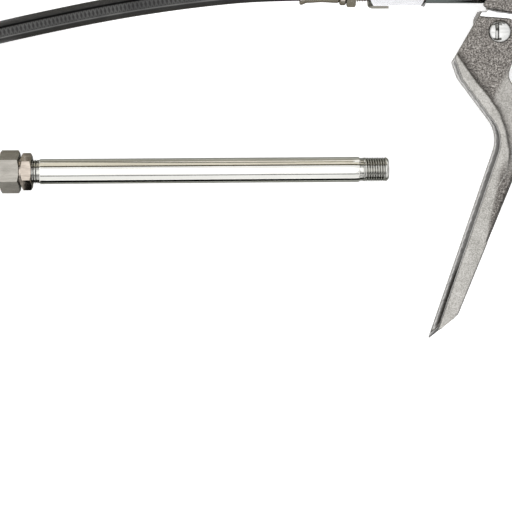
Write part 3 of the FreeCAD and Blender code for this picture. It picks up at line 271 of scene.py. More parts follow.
def rubber(name, dark, light, cell=1.5, depth=0.03, rough=0.5):
    n = Nodes(name)
    clouds = n.noise(12.0, 3.0)
    n.feed("Base Color", n.ramp(clouds, (0.3, dark), (0.7, light)))
    n.feed("Roughness", n.span(n.noise(cell, 3.0), rough * 0.85, rough * 1.2, 0.3, 0.7))
    n.set(Specular_IOR_Level=0.4)
    n.bump(n.noise(cell * 0.3, 3.0), depth)
    return n.material


def hose_rubber():
    """Cloth-wrapped rubber: the imprint's ridges are painted pale, a painted highlight, one thin pale seam runs
    along, and the groove beside the band is painted black without shine, a painted shade.
    """
    n = Nodes("hose_rubber")
    clouds = n.noise(10.0, 3.0)
    base = n.ramp(clouds, (0.3, (0.006, 0.0055, 0.0055)), (0.7, (0.015, 0.0145, 0.014)))
    highlight_and_seam_colour = n.ramp(clouds, (0.3, (0.08, 0.08, 0.08)), (0.7, (0.15, 0.15, 0.145)))
    groove_shade_colour = n.ramp(clouds, (0.3, (0.001, 0.001, 0.001)), (0.7, (0.004, 0.004, 0.004)))
    n.feed("Base Color", n.mix(n.attribute("groove_shade"), n.mix(n.attribute("ridge_highlight_and_seam"), base, highlight_and_seam_colour), groove_shade_colour))
    n.feed("Roughness", n.span(n.noise(0.8, 3.0), 0.42, 0.58, 0.3, 0.7))
    n.feed("Specular IOR Level", n.span(n.attribute("groove_shade"), 0.34, 0.02))
    n.bump(n.noise(0.3, 2.0), 0.03)
    return n.material


def powder_coat(name, dark, light):
    """Powder paint with an orange-peel skin."""
    n = Nodes(name)
    n.feed("Base Color", n.ramp(n.noise(25.0, 3.0), (0.3, dark), (0.7, light)))
    n.feed("Roughness", n.span(n.noise(2.0, 2.0), 0.30, 0.42, 0.3, 0.7))
    n.set(Coat_Weight=0.3, Coat_Roughness=0.2)
    n.bump(n.noise(1.1, 2.0), 0.035)
    return n.material


# Each plated metal: its colour where dark, where light, its roughness, and what else differs.
PLATED = {
    "nickel": ((0.88, 0.88, 0.90), (0.96, 0.96, 0.98), 0.20, {}),
    "bright_nickel": ((0.93, 0.93, 0.965), (0.975, 0.975, 1.0), 0.12, {"edge": 0.9, "with_stain_and_painted_shade": True}),
    "staked_nickel": ((0.44, 0.44, 0.43), (0.60, 0.60, 0.59), 0.30, {"cell": 1.2, "with_stain_and_painted_shade": True}),
    "satin_nickel": (
        (0.21, 0.20, 0.18),
        (0.285, 0.27, 0.245),
        0.22,
        {"cell": 1.2, "grain_depth": 0.010, "edge": 0.35},
    ),
    "rose_nickel": (
        (0.27, 0.235, 0.20),
        (0.42, 0.37, 0.325),
        0.16,
        {"cell": 1.5, "grain_depth": 0.006, "edge": 0.35},
    ),
    "warm_nickel": ((0.42, 0.385, 0.33), (0.56, 0.52, 0.46), 0.22, {"cell": 3.0, "edge": 0.35}),
    "zinc_plate": ((0.74, 0.72, 0.67), (0.88, 0.87, 0.83), 0.12, {}),
    "threaded_zinc": ((0.74, 0.735, 0.70), (0.85, 0.845, 0.81), 0.07, {"edge": 0.3, "with_stain_and_painted_shade": True}),
    "dark_chrome": ((0.10, 0.115, 0.11), (0.20, 0.215, 0.21), 0.12, {"cell": 9.0}),
    "steel": ((0.46, 0.46, 0.47), (0.62, 0.62, 0.63), 0.28, {}),
    "spring_steel": ((0.30, 0.30, 0.32), (0.42, 0.42, 0.44), 0.3, {"cell": 3.0, "streak": 1}),
    "brass": ((0.66, 0.47, 0.20), (0.80, 0.62, 0.32), 0.22, {}),
}
MATERIALS = {name: plated(name, *finish, **extra) for name, (*finish, extra) in PLATED.items()}
MATERIALS["cast_zinc"] = cast_metal()
MATERIALS["rubber"] = rubber("rubber", (0.022, 0.022, 0.024), (0.038, 0.038, 0.040))
MATERIALS["hose_rubber"] = hose_rubber()
MATERIALS["seal"] = rubber("seal", (0.018, 0.018, 0.018), (0.03, 0.03, 0.03), 1.0, 0.01, 0.4)
MATERIALS["barrel_paint"] = powder_coat("barrel_paint", (0.030, 0.034, 0.038), (0.042, 0.047, 0.052))


# ---------------------------------------------------------------- ways of making a piece
def finish_piece(name, mesh, body, slot, material=None, replaced=(), sharp_degrees=38):
    """Link a mesh as a piece of the object, riding on a body."""
    mesh.validate()
    mesh.shade_smooth()
    mesh.set_sharp_from_angle(angle=math.radians(sharp_degrees))
    piece = bpy.data.objects.new(name, mesh)
    bpy.context.scene.collection.objects.link(piece)
    piece.data.materials.clear()
    piece.data.materials.append(MATERIALS[material or slot])
    if body:
        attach(piece, body)
    if replaced:
        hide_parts(*replaced)
    return piece


def grid_mesh(name, rings, closed=True):
    """A mesh from rings of points. Closed, its last ring meets its first. Otherwise each end is capped."""
    around = len(rings[0])
    verts = [point for ring in rings for point in ring]
    faces = []
    count = len(rings)
    for i in range(count if closed else count - 1):
        here = i * around
        there = (i + 1) % count * around
        for j in range(around):
            k = (j + 1) % around
            faces.append((here + j, here + k, there + k, there + j))
    if not closed:
        faces.append(tuple(reversed(range(around))))
        faces.append(tuple(range((count - 1) * around, count * around)))
    mesh = bpy.data.meshes.new(name)
    mesh.from_pydata([tuple(v) for v in verts], [], faces)
    outward(mesh)
    return mesh


def outward(mesh):
    """Turn every face outward."""
    bm = bmesh.new()
    bm.from_mesh(mesh)
    bmesh.ops.recalc_face_normals(bm, faces=bm.faces)
    bm.to_mesh(mesh)
    bm.free()


def spun(name, place, rows, around=96, closed=True):
    """A turned shape about a frame's X axis. A row is (x, radius), and a radius may follow the angle."""
    rings = []
    for along, radius in rows:
        ring = []
        for step in range(around):
            angle = TURN * step / around
            reach = radius(angle) if callable(radius) else radius
            ring.append(place.point(along, reach * math.cos(angle), reach * math.sin(angle)))
        rings.append(ring)
    return grid_mesh(name, rings, closed)


def steps(start, end, count):
    return [start + (end - start) * i / count for i in range(count + 1)]


def thread_rows(start, end, crest, depth, pitch, per_turn=8):
    """Rows of a helical V thread that runs out at both of its ends."""
    rows = []
    for along in steps(start, end, max(2, round((end - start) / pitch * per_turn))):
        runout = min(1.0, (along - start) / (pitch * 0.8), (end - along) / (pitch * 0.8))

        def radius(angle, along=along, runout=max(0.0, runout)):
            phase = (along / pitch - angle / TURN) % 1.0
            return crest - depth * runout * abs(2 * phase - 1)

        rows.append((along, radius))
    return rows


def hexagon(across_flats, limit):
    """The radius of a hexagon with a corner on Y, never over a limit."""

    def radius(angle):
        return min(limit, across_flats / 2 / math.cos(angle % (TURN / 6) - TURN / 12))

    return radius


def hex_rows(start, end, across_flats, bevel):
    """A hexagon whose corners are turned off to a cone at both ends."""
    corner = across_flats / math.sqrt(3)
    rows = []
    for along in steps(start, end, 16):
        edge = min(along - start, end - along)
        rows.append((along, hexagon(across_flats, corner - bevel + min(bevel, edge * 1.9))))
    return rows


def knurl_rows(start, end, crest, depth, cells_around, per_cell=6):
    """A diamond knurl between two plain bands."""
    cell = TURN * crest / cells_around
    rows = []
    for along in steps(start, end, max(4, round((end - start) / cell * per_cell))):
        runout = min(1.0, (along - start) / 0.4, (end - along) / 0.4)

        def radius(angle, along=along, runout=max(0.0, runout)):
            turns = angle / TURN * cells_around
            first = (turns + (along - start) / cell) % 1.0
            second = (turns - (along - start) / cell) % 1.0
            groove = max(abs(2 * first - 1), abs(2 * second - 1))
            return crest - depth * runout * max(0.0, groove - 0.45) / 0.55

        rows.append((along, radius))
    return rows


def cad_copy(node):
    """A clean copy of a CAD node's mesh, its split corners welded."""
    mesh = frame["nodes"][node].data.copy()
    bm = bmesh.new()
    bm.from_mesh(mesh)
    bmesh.ops.remove_doubles(bm, verts=bm.verts, dist=0.002 * MM)
    bm.to_mesh(mesh)
    bm.free()
    mesh.materials.clear()
    for name in [layer.name for layer in mesh.uv_layers]:
        mesh.uv_layers.remove(mesh.uv_layers[name])
    return mesh


def remeshed(node, voxel_mm, smoothing):
    """A CAD node's shape with even small faces and softened edges, as a casting or a moulding has."""
    source = bpy.data.objects.new(node + "_source", cad_copy(node))
    bpy.context.scene.collection.objects.link(source)
    remesh = source.modifiers.new("remesh", "REMESH")
    remesh.mode = "VOXEL"
    remesh.voxel_size = voxel_mm * MM
    smooth = source.modifiers.new("smooth", "SMOOTH")
    smooth.factor = 0.5
    smooth.iterations = smoothing
    graph = bpy.context.evaluated_depsgraph_get()
    mesh = bpy.data.meshes.new_from_object(source.evaluated_get(graph))
    bpy.data.objects.remove(source)
    return mesh


def vertex_arrays(mesh):
    count = len(mesh.vertices)
    places = np.empty(count * 3)
    normals = np.empty(count * 3)
    mesh.vertices.foreach_get("co", places)
    mesh.vertices.foreach_get("normal", normals)
    return places.reshape(-1, 3), normals.reshape(-1, 3)


def in_frame(place, vectors, is_point=True):
    """Points in a local frame's millimetres, or directions along its axes."""
    axes = np.array([place.x, place.y, place.z])
    if is_point:
        vectors = (vectors - np.array(place.origin)) / MM
    return vectors @ axes.T


def smooth_step(values, low, high):
    t = np.clip((values - low) / (high - low), 0, 1)
    return t * t * (3 - 2 * t)


def fade(values, low, high):
    return 1 - smooth_step(values, low, high)


def write_attribute(mesh, name, values):
    layer = mesh.attributes.new(name, "FLOAT", "POINT")
    layer.data.foreach_set("value", values.astype(np.float32))


def roughen(mesh, weight, cell_mm, depth_mm):
    """Sink vertices along their normals by smooth noise, by a weight for each vertex."""
    places, normals = vertex_arrays(mesh)
    lift = np.zeros(len(places))
    for index in np.nonzero(weight > 0.02)[0]:
        spot = Vector(places[index]) / (cell_mm * MM)
        lift[index] = noise.noise(spot) + 0.5 * noise.noise(spot * 2.1)
    lift = (np.clip(lift, -1, 1) - 1) / 2
    places = places + normals * (lift * weight * depth_mm * MM)[:, None]
    mesh.vertices.foreach_set("co", places.ravel())
    mesh.update()


# ---------------------------------------------------------------- hose
HOSE_DIAMETER = 0.009
HOSE_ROUTE = [
    (-0.1082, 0.038404, 0.028881),
    (-0.1252, 0.0382, 0.0288),
    (-0.1452, 0.0367, 0.0269),
    (-0.1672, 0.0347, 0.0206),
    (-0.1882, 0.0323, 0.0126),
    (-0.2092, 0.0289, 0.0069),
    (-0.2312, 0.0244, 0.0047),
    (-0.2542, 0.0187, 0.00455),
    (-0.2772, 0.0135, 0.0046),
    (-0.3002, 0.0097, 0.0049),
    (-0.3212, 0.0079, 0.0066),
    (-0.3372, 0.0072, 0.0078),
    (-0.3512, 0.0069, 0.0078),
]


def hose_line():
    """The points along the hose's NURBS line."""
    curve = bpy.data.curves.new("hose_line", "CURVE")
    curve.dimensions = "3D"
    spline = curve.splines.new("NURBS")
    spline.points.add(len(HOSE_ROUTE) - 1)
    for point, place in zip(spline.points, HOSE_ROUTE):
        point.co = (*place, 1)
    spline.order_u = 3
    spline.use_endpoint_u = True
    spline.resolution_u = 64
    holder = bpy.data.objects.new("hose_line", curve)
    bpy.context.scene.collection.objects.link(holder)
    graph = bpy.context.evaluated_depsgraph_get()
    line = bpy.data.meshes.new_from_object(holder.evaluated_get(graph))
    path = [v.co.copy() for v in line.vertices]
    bpy.data.objects.remove(holder)
    return path


def make_hose():
    """A rubber tube with the imprint of its wrapping in one band, and a thin seam beside the band."""
    path = hose_line()
    around = 144
    spacing = TURN / 3
    band_middle = -0.2
    band_half = 0.42
    groove = 0.30
    seam = -0.66
    imprint = 0.22 * MM
    pitch = 1.75 * MM
    radius = HOSE_DIAMETER / 2 - 0.06 * MM
    rings = []
    ridge_highlight_and_seam = []
    sunk = []
    gone = 0.0
    for i, here in enumerate(path):
        ahead = path[min(i + 1, len(path) - 1)] - path[max(i - 1, 0)]
        direction = ahead.normalized()
        side = Z_AXIS.cross(direction).normalized()
        top = direction.cross(side).normalized()
        if i:
            gone += (here - path[i - 1]).length
        ring = []
        for step in range(around):
            angle = TURN * step / around
            offset = (angle - band_middle + spacing / 2) % spacing - spacing / 2
            across = offset + band_middle
            inside = max(0.0, 1 - max(0.0, abs(offset) - band_half + 0.1) / 0.1)
            slant = gone / pitch + offset * 0.9
            crossing = gone / pitch - offset * 0.9
            ridge = max(math.cos(TURN * slant), math.cos(TURN * crossing))
            line = max(0.0, 1 - abs(across - seam) / 0.09) ** 0.7
            groove_shade = min(1.0, max(0.0, 1.6 - abs(across - groove) / 0.10))
            lift = inside * imprint * (ridge - 1) * 0.5 + line * 0.05 * MM - groove_shade * 0.22 * MM
            reach = radius + lift
            ring.append(here + (top * math.cos(angle) + side * -math.sin(angle)) * reach)
            ridge_highlight_and_seam.append(max(inside * 0.45 * max(0.0, ridge), line))
            sunk.append(groove_shade)
        rings.append(ring)
    mesh = grid_mesh("wrapped_hose", rings, closed=False)
    # The ridges of the imprint are painted pale, a painted highlight, and so is the seam; the groove is painted
    # black, a painted shade.
    write_attribute(mesh, "ridge_highlight_and_seam", np.array(ridge_highlight_and_seam))
    write_attribute(mesh, "groove_shade", np.array(sunk))
    hose = finish_piece("wrapped_hose", mesh, "gun", "rubber", "hose_rubber", ["hose"], 60)
    return hose, path


# ---------------------------------------------------------------- pump line
def make_hose_fitting(name, node, place):
    """Thread, hexagon, collar and barb, turned from one bar."""
    thread = 11.6
    hex_end = 15.2
    collar_end = 18.0
    barb_end = 29.5
    rows = [(0.0, 1.5), (0.0, 4.0)]
    rows += thread_rows(0.6, thread - 0.5, 4.8, 0.55, 1.0)
    rows += [(thread - 0.4, 4.25), (thread, 4.25), (thread, 5.1)]
    rows += hex_rows(thread, hex_end, 12.0, 0.7)
    rows += [(hex_end, 5.3), (hex_end + 0.15, 5.2), (hex_end + 0.3, 5.7), (hex_end + 0.7, 6.15)]
    rows += [(collar_end - 0.6, 6.2), (collar_end - 0.2, 5.9), (collar_end, 5.5), (collar_end, 2.3)]
    rows += [(barb_end, 2.3), (barb_end, 1.5)]
    mesh = spun(name, place, rows, 96)
    return finish_piece(name, mesh, "gun", "zinc_plate", "warm_nickel", [node])


def make_ferrule(name, node, place):
    """A crimped sleeve: eight shallow die flats between its rolled collar and its flared mouth."""
    start = 0.0
    end = 15.5
    outer = 5.25
    mouth = 6.0
    hose_radius = 4.5

    def crimped(along):
        waist = 0.34 * math.sin(math.pi * min(1.0, max(0.0, (along - 1.2) / 11.2))) ** 2

        def radius(angle):
            flat = abs((angle / TURN * 8) % 1.0 - 0.5) * 2
            return outer - waist * (0.72 + 0.28 * (1 - flat) ** 0.5)

        return radius

    rows = [(start, 2.31), (start, outer - 0.6), (0.25, outer - 0.2), (0.7, outer)]
    rows += [(along, crimped(along)) for along in steps(1.2, 12.4, 28)]
    rows += [(13.0, outer + 0.08), (13.7, outer + 0.4), (14.3, mouth - 0.1), (14.8, mouth)]
    rows += [(15.2, mouth - 0.05), (end, mouth - 0.4), (end, hose_radius + 0.01)]
    rows += [(13.5, hose_radius + 0.01), (13.5, 2.31)]
    mesh = spun(name, place, rows, 96)
    return finish_piece(name, mesh, "gun", "zinc_plate", "warm_nickel", [node])


def make_union_sleeve():
    """The bright hexagonal union round the check valve, its corners turned off to a cone at both ends."""
    low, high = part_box("union_sleeve")
    middle = (low + high) / 2
    place = Local((high.x, middle.y, middle.z), -X_AXIS, Z_AXIS)
    length = (high.x - low.x) / MM
    flats = (high.y - low.y) / MM
    corner = flats / math.sqrt(3)
    lead = 1.9
    drop = 1.45
    inner = 5.41
    bore = 4.81
    bore_depth = 6.9
    seat = 4.0
    seat_end = 15.4
    face = 6.3
    ease = 0.05

    def section(along):
        edge = min(along, length - along)
        limit = corner - ease - drop * (1 - min(1.0, edge / lead))
        across = hexagon(flats, limit)
        return lambda angle: across(angle + TURN / 12)

    rows = [(0.0, inner), (0.0, face)]
    rows += [(along, section(along)) for along in steps(0.0, lead + 0.2, 20)]
    rows += [(along, section(along)) for along in steps(length - lead - 0.2, length, 20)]
    rows += [(length, face), (length, bore), (length - bore_depth, bore), (length - bore_depth, seat)]
    rows += [(length - seat_end, seat), (length - seat_end, inner)]
    mesh = spun("bright_union", place, rows, 288)
    local = in_frame(place, vertex_arrays(mesh)[0])
    edge = np.minimum(local[:, 0], length - local[:, 0])
    cone = corner - drop * (1 - np.clip(edge / lead, 0, 1))
    on_cone = (np.hypot(local[:, 1], local[:, 2]) > cone - ease - 0.03) & (edge < lead)
    # The cones at both ends are painted dark: painted shade on the chamfers.
    write_attribute(mesh, "stain_and_painted_shade", on_cone * 0.85)
    return finish_piece("bright_union", mesh, "gun", "nickel", "bright_nickel", ["union_sleeve"], 20)


# ---------------------------------------------------------------- loose pipe and couplers
def make_pipe():
    """The drawn pipe with its turned neck, and a real helical thread behind a relief groove."""
    place = moved(PIPE, 37.5)
    bore = 2.0
    turned = 4.6
    outer = 5.0
    groove_root = 4.25
    neck_end = 9.1
    relief = 137.1
    thread_start = 138.9
    end = 148.8
    neck = [(0.0, bore), (0.0, 3.95), (6.05, 3.95), (6.05, turned)]
    for start in (6.5, 7.5):
        neck += [(start, turned), (start + 0.25, groove_root), (start + 0.5, turned)]
    shoulder = [(neck_end - 0.3, turned), (neck_end, turned + 0.02), (neck_end, outer - 0.14)]
    shoulder += [(neck_end + 0.16, outer - 0.03), (neck_end + 0.4, outer)]
    body = [(along, outer) for along in steps(12.0, 134.0, 12)]
    groove = [(relief - 0.3, outer), (relief - 0.08, outer - 0.07), (relief, 4.7)]
    groove += [(relief + 0.1, 4.55), (thread_start - 0.2, 4.5), (thread_start, turned)]
    thread = thread_rows(thread_start, end - 0.9, 4.8, 0.5, 1.0)
    tip = [(end - 0.8, 4.72), (end - 0.1, 4.05), (end, 3.9), (end, bore)]
    mesh = spun("threaded_pipe", place, neck + shoulder + body + groove + thread + tip, 112)
    local = in_frame(place, vertex_arrays(mesh)[0])
    reach = np.hypot(local[:, 1], local[:, 2])
    # The neck, the thread with its valleys darker still, and the bore are painted dark: painted shade.
    on_neck = (local[:, 0] < neck_end + 0.1) * 0.62
    on_thread = (local[:, 0] > relief + 0.1) * (0.28 + 0.5 * fade(reach, 4.35, 4.75))
    write_attribute(mesh, "stain_and_painted_shade", np.where(reach > 3.0, on_neck + on_thread, 0.5))
    replaced = ["extension_pipe"]
    return finish_piece("threaded_pipe", mesh, "loose_pipe", "zinc_plate", "threaded_zinc", replaced)


def make_coupler_nut(prefix, place):
    """A knurled nut with a smooth nose that tapers to its mouth."""
    name = "knurled_" + prefix + "_nut"
    outer = 7.7
    rows = [(0.0, 5.6), (0.0, 6.3), (0.12, 6.5), (2.2, outer - 0.1), (2.6, outer)]
    rows += [(5.8, outer), (6.0, outer - 0.35), (6.6, outer - 0.35), (6.8, outer - 0.02)]
    rows += knurl_rows(7.0, 27.0, outer, 0.32, 40, 5)
    rows += [(27.3, outer - 0.3), (27.9, outer - 0.3), (28.2, outer), (29.5, outer), (30.1, outer - 0.7)]
    rows += [(30.1, 6.0), (9.4, 6.0), (9.4, 5.6)]
    mesh = spun(name, place, rows, 200)
    node = prefix + "_coupler_nut"
    return finish_piece(name, mesh, prefix + "_nut", "zinc_plate", "zinc_plate", [node], 30)


# ---------------------------------------------------------------- castings
def near_step(local, facing, panel, half_width, sink):
    """How close each place of the sunk panel is to the step up to the lip, where shade is painted."""
    reach = 2.4
    depth = half_width - np.abs(local[:, 2])
    on_step = (depth > sink * 0.2) & (depth < sink * 0.8) & (np.abs(facing[:, 2]) < 0.85)
    steps_found = np.nonzero(on_step)[0]
    tree = kdtree.KDTree(len(steps_found))
    for slot_number, index in enumerate(steps_found):
        tree.insert(local[index], slot_number)
    tree.balance()
    painted_shade = np.zeros(len(local))
    for index in np.nonzero(panel > 0.05)[0]:
        distance = tree.find(local[index])[2]
        painted_shade[index] = max(0.0, 1 - distance / reach) * 0.9
    return painted_shade * panel


def right_of(places, start, end):
    """How far each place is to the right of a line that goes up from one corner to another."""
    run = np.array(end) - np.array(start)
    return (places[:, :2] - np.array(start)) @ np.array((run[1], -run[0])) / np.hypot(*run)


def make_lever():
    """The lever's casting: rough sunk panels that run out toward the tip, satin lips, and a channel painted dark
    inside, a painted shade.
    """
    half_width = 10.3
    sink = 0.9
    tip = (-25.0, -122.9)
    heel = (-17.1, -115.6)
    waist = (2.3, -40.2)
    nose = (-17.4, -10.0)
    back = (10.9, -44.4)
    mesh = remeshed("lever", 0.36, 3)
    places, normals = vertex_arrays(mesh)
    local = in_frame(GUN, places)
    facing = in_frame(GUN, normals, False)
    across, up, out = local.T
    down = -up
    depth = half_width - np.abs(out)
    behind_edge = np.where(up < waist[1], right_of(local, tip, waist), right_of(local, waist, nose))
    from_back = -right_of(local, heel, back)
    on_side = fade(depth, 1.6, 2.2) * smooth_step(np.abs(facing[:, 2]), 0.6, 0.9)

    # The sunk panel is rough, except in one smoother area whose lighter satin colour is a painted highlight, and
    # comes level below the waist.
    panel = smooth_step(depth, sink * 0.45, sink * 0.85) * on_side
    past_highlight_line = across - 4.8 - 0.487 * (up + 9.5)
    smooth_painted_highlight = smooth_step(past_highlight_line, -0.5, 2.5) * smooth_step(down, 10.0, 20.0) * fade(down, 42.0, 56.0)
    level = smooth_step(down, 46.0, 58.0)
    within = smooth_step(from_back, 0.4, 1.1) * smooth_step(behind_edge, 0.4, 1.1) * (depth < 1.2)
    rise = within * level * np.clip(depth, 0, sink) * np.sign(out)
    places = places + np.outer(rise * MM, np.array(GUN.z))
    mesh.vertices.foreach_set("co", places.ravel())
    mesh.update()

    # Below it a rough band narrows along the back edge.
    band_width = 5.6 - 0.19 * (down - 61.0)
    band = smooth_step(band_width - from_back, 0.0, 2.0) * fade(down, 74.0, 86.0) * on_side * level
    grain = np.maximum(panel * (1 - smooth_painted_highlight * 0.8) * (1 - level), band)

    # Painted shade lies beside the step, along the back rim, on the rough band and inside the channel; the
    # channel's far lip is painted lighter, painted light where light falls on it.
    beside_step = near_step(local, facing, panel, half_width, sink) * (1 - level)
    rim = fade(from_back, 0.2, 0.55) * smooth_step(out, 7.0, 8.5) * smooth_step(down, 40.0, 60.0)
    in_channel = fade(np.abs(out), 7.75, 7.95)
    into_channel = behind_edge + smooth_step(down, 88.0, 98.0) * 1.2
    channel_painted_shade = smooth_step(into_channel, 2.2, 2.8) * in_channel
    far_lip_painted_light = fade(into_channel, 2.0, 2.6) * in_channel * (out < 0)
    write_attribute(mesh, "grain", grain)
    # The channel's far lip takes some of the bright milled colour: painted light on the face that light falls on.
    write_attribute(mesh, "milled_and_painted_light", far_lip_painted_light * 0.22)
    write_attribute(mesh, "painted_shade", np.maximum.reduce([beside_step, channel_painted_shade * 0.9, rim * 0.8, band * 0.35]))
    roughen(mesh, grain, 0.85, 0.22)
    return finish_piece("cast_lever", mesh, "lever", "cast_zinc", "cast_zinc", ["lever"], 60)


def make_head():
    """The head's casting: rough all over, with milled faces on the lug that the lever straddles."""
    mesh = remeshed("head_casting", 0.55, 2)
    places, normals = vertex_arrays(mesh)
    local = in_frame(GUN, places)
    facing = in_frame(GUN, normals, False)
    across, up, out = local.T
    lug_half = 7.5
    lug_back = 21
    lug_top = 16
    barrel_axis = 36.0
    cup_inner = 25
    cup_front = 15
    on_lug = (np.abs(np.abs(out) - lug_half) < 0.7) & (across < lug_back) & (up < lug_top)
    milled_and_painted_light = np.where(on_lug, smooth_step(np.abs(facing[:, 2]), 0.8, 0.97), 0.0)
    on_cup = (np.hypot(up - barrel_axis, out) > cup_inner) & (across > cup_front)
    turned = on_cup * 0.55
    grain = (1 - milled_and_painted_light) * (1 - turned)
    write_attribute(mesh, "grain", grain)
    write_attribute(mesh, "milled_and_painted_light", milled_and_painted_light)
    roughen(mesh, grain, 0.9, 0.20)
    return finish_piece("cast_head", mesh, "gun", "cast_zinc", "cast_zinc", ["head_casting"], 60)


def make_pivot_shaft():
    """The shaft's end is a low dome, split by a staking chisel whose ends left two short marks."""
    radius = 4.1
    half = 10.6
    dome = 0.35
    rim = 3.6
    wall_end = 9.2
    slot_at = -1.15
    slot_half = 0.42
    slot_reach = 2.75
    mark_at = 3.05
    mark_half = 1.5
    flank = 0.25
    around = 120
    angles = [TURN * step / around for step in range(around)]

    def crown(reach):
        return half - dome * (reach / radius) ** 2

    def height(x, y, reach):
        """How high the end face stands at a place across the shaft."""
        rolled = 0.35 * max(0.0, (reach - rim) / 0.5) ** 2
        slot = max(0.0, 1 - max(0.0, abs(x - slot_at) - slot_half) / flank)
        slot *= max(0.0, 1 - max(0.0, abs(y) - slot_reach) / flank)
        mark = max(0.0, 1 - abs(abs(y) - mark_at + 0.12 * abs(x - slot_at)) / 0.42)
        mark *= max(0.0, 1 - max(0.0, abs(x - slot_at) - mark_half) / 0.3)
        return crown(reach) - rolled - 1.05 * slot - 0.6 * mark

    def ring_at(reach, level=None):
        """A ring round the shaft, on its staked end face or at a level."""
        ring = []
        for angle in angles:
            x = reach * math.cos(angle)
            y = reach * math.sin(angle)
            ring.append(GUN.point(x, y, height(x, y, reach) if level is None else level))
        return ring

    reaches = steps(0.02, radius, 34)
    rings = [ring_at(reach) for reach in reaches]
    rings += [ring_at(radius, level) for level in (wall_end, 0.0, -wall_end)]
    rings += [ring_at(reach, -crown(reach)) for reach in reversed(reaches)]
    mesh = grid_mesh("staked_shaft", rings, closed=False)
    x, y, out = in_frame(GUN, vertex_arrays(mesh)[0]).T

    # Darker colour in the slot and in its two marks, and a little on the side toward negative x.
    slot = fade(np.abs(x - slot_at + 0.12 * y), 0.35, 0.85)
    slot *= fade(np.abs(y), 2.4, 2.9) * (0.42 + 0.58 * smooth_step(y, -0.4, 0.9))
    upper = fade(np.abs(y - 3.45 + 0.10 * (x + 0.5) ** 2), 0.12, 0.42) * fade(np.abs(x + 0.5), 1.9, 2.5)
    lower = fade(np.abs(y + 2.85 - 0.1 * (x + 1.4)), 0.12, 0.42) * fade(np.abs(x + 1.4), 1.4, 1.9)
    darker_side = smooth_step(-x, 1.2, 2.4) * 0.16
    stain_and_painted_shade = np.maximum.reduce([slot, upper * 0.9, lower * 0.85, darker_side])
    write_attribute(mesh, "stain_and_painted_shade", stain_and_painted_shade * (out > wall_end + 0.05) * (np.hypot(x, y) < radius - 0.25))
    return finish_piece("staked_shaft", mesh, "lever", "nickel", "staked_nickel", ["pivot_shaft"], 40)


def make_lever_spring():
    """The return spring is a real coil, squeezed between the lever and the grip's tang."""
    mesh = cad_copy("lever_spring")
    piece = finish_piece("return_spring", mesh, None, "spring_steel", "spring_steel", ["lever_spring"], 60)
    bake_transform(piece)
    return piece


# ---------------------------------------------------------------- grip and barrel
def make_grip_sleeve():
    """A moulded rubber sleeve with cross ribs on its sides."""
    mesh = remeshed("grip_sleeve", 0.7, 4)
    places, normals = vertex_arrays(mesh)
    local = in_frame(GUN, places)
    across, up, out = local.T
    rib_pitch = 4.2
    rib_depth = 0.8
    ribs = smooth_step(0.5 - 0.5 * np.cos(TURN * up / rib_pitch), 0.15, 0.5)
    zone = smooth_step(up, -116.0, -113.0) * smooth_step(-up, 42.0, 45.0)
    on_side = smooth_step(np.abs(out), 11.9, 12.6)
    from_middle = across - (49.5 - (up + 70.0) * 0.10)
    cutback = (1 - ribs) * zone * on_side * fade(np.abs(from_middle), 10.0, 11.0) * rib_depth
    places = places - normals * (cutback * MM)[:, None]
    mesh.vertices.foreach_set("co", places.ravel())
    mesh.update()
    return finish_piece("ribbed_grip_sleeve", mesh, "gun", "rubber", "rubber", ["grip_sleeve"], 50)


def make_grip_handle():
    mesh = remeshed("grip_handle", 0.8, 2)
    count = len(mesh.vertices)
    write_attribute(mesh, "grain", np.full(count, 0.9))
    write_attribute(mesh, "milled_and_painted_light", np.zeros(count))
    roughen(mesh, np.full(count, 1.0), 1.1, 0.18)
    return finish_piece("cast_grip_handle", mesh, "gun", "cast_zinc", "cast_zinc", ["grip_handle"], 60)


def make_barrel():
    """The rolled steel tube, with two shallow beads near each end."""
    low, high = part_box("grease_barrel")
    middle = (low + high) / 2
    place = Local((low.x, middle.y, middle.z), X_AXIS, GUN.z)
    length = (high.x - low.x) / MM
    outer = 28.0
    inner = 26.4
    bead = 0.45
    rows = [(0.0, inner), (0.0, outer - 0.3), (0.3, outer)]
    bead_width = 3.0
    for start in (34.0, 40.0, length - 37.0, length - 31.0):
        for t in steps(0, 1, 8):
            rows.append((start + bead_width * t, outer - bead * math.sin(math.pi * t) ** 2))
    rows += [(length - 0.3, outer), (length, outer - 0.3), (length, inner)]
    mesh = spun("beaded_barrel", place, rows, 144)
    paint = "barrel_paint"
    return finish_piece("beaded_barrel", mesh, "barrel", paint, paint, ["grease_barrel"], 50)


def make_end_cap():
    """The pressed end cap, fluted for grip round its skirt."""
    low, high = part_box("barrel_end_cap")
    middle = (low + high) / 2
    place = Local((low.x, middle.y, middle.z), X_AXIS, GUN.z)
    radius = 31.0
    inner = 28.02
    floor = 20.0
    rod_hole = 3.65
    flutes = 36

    def fluted(depth):
        return lambda angle: radius - depth * (0.5 - 0.5 * math.cos(angle * flutes)) ** 1.6

    rows = [(0.0, inner), (0.0, radius - 1.1), (0.3, radius - 0.4), (1.0, radius), (3.0, radius)]
    rows += [(3.6, fluted(0.35)), (4.4, fluted(0.7)), (14.6, fluted(0.7)), (15.4, fluted(0.35))]
    rows += [(16.0, radius)]
    rows += [(18.0, radius), (19.4, radius - 0.8), (20.9, radius - 2.4), (22.2, radius - 4.2)]
    rows += [(23.0, radius - 6.4), (23.0, 8.7), (23.5, 8.0), (25.3, 6.9), (25.4, 6.6)]
    rows += [(25.4, rod_hole), (floor, rod_hole), (floor, inner)]
    mesh = spun("fluted_end_cap", place, rows, 216)
    return finish_piece("fluted_end_cap", mesh, "barrel", "zinc_plate", "zinc_plate", ["barrel_end_cap"], 40)


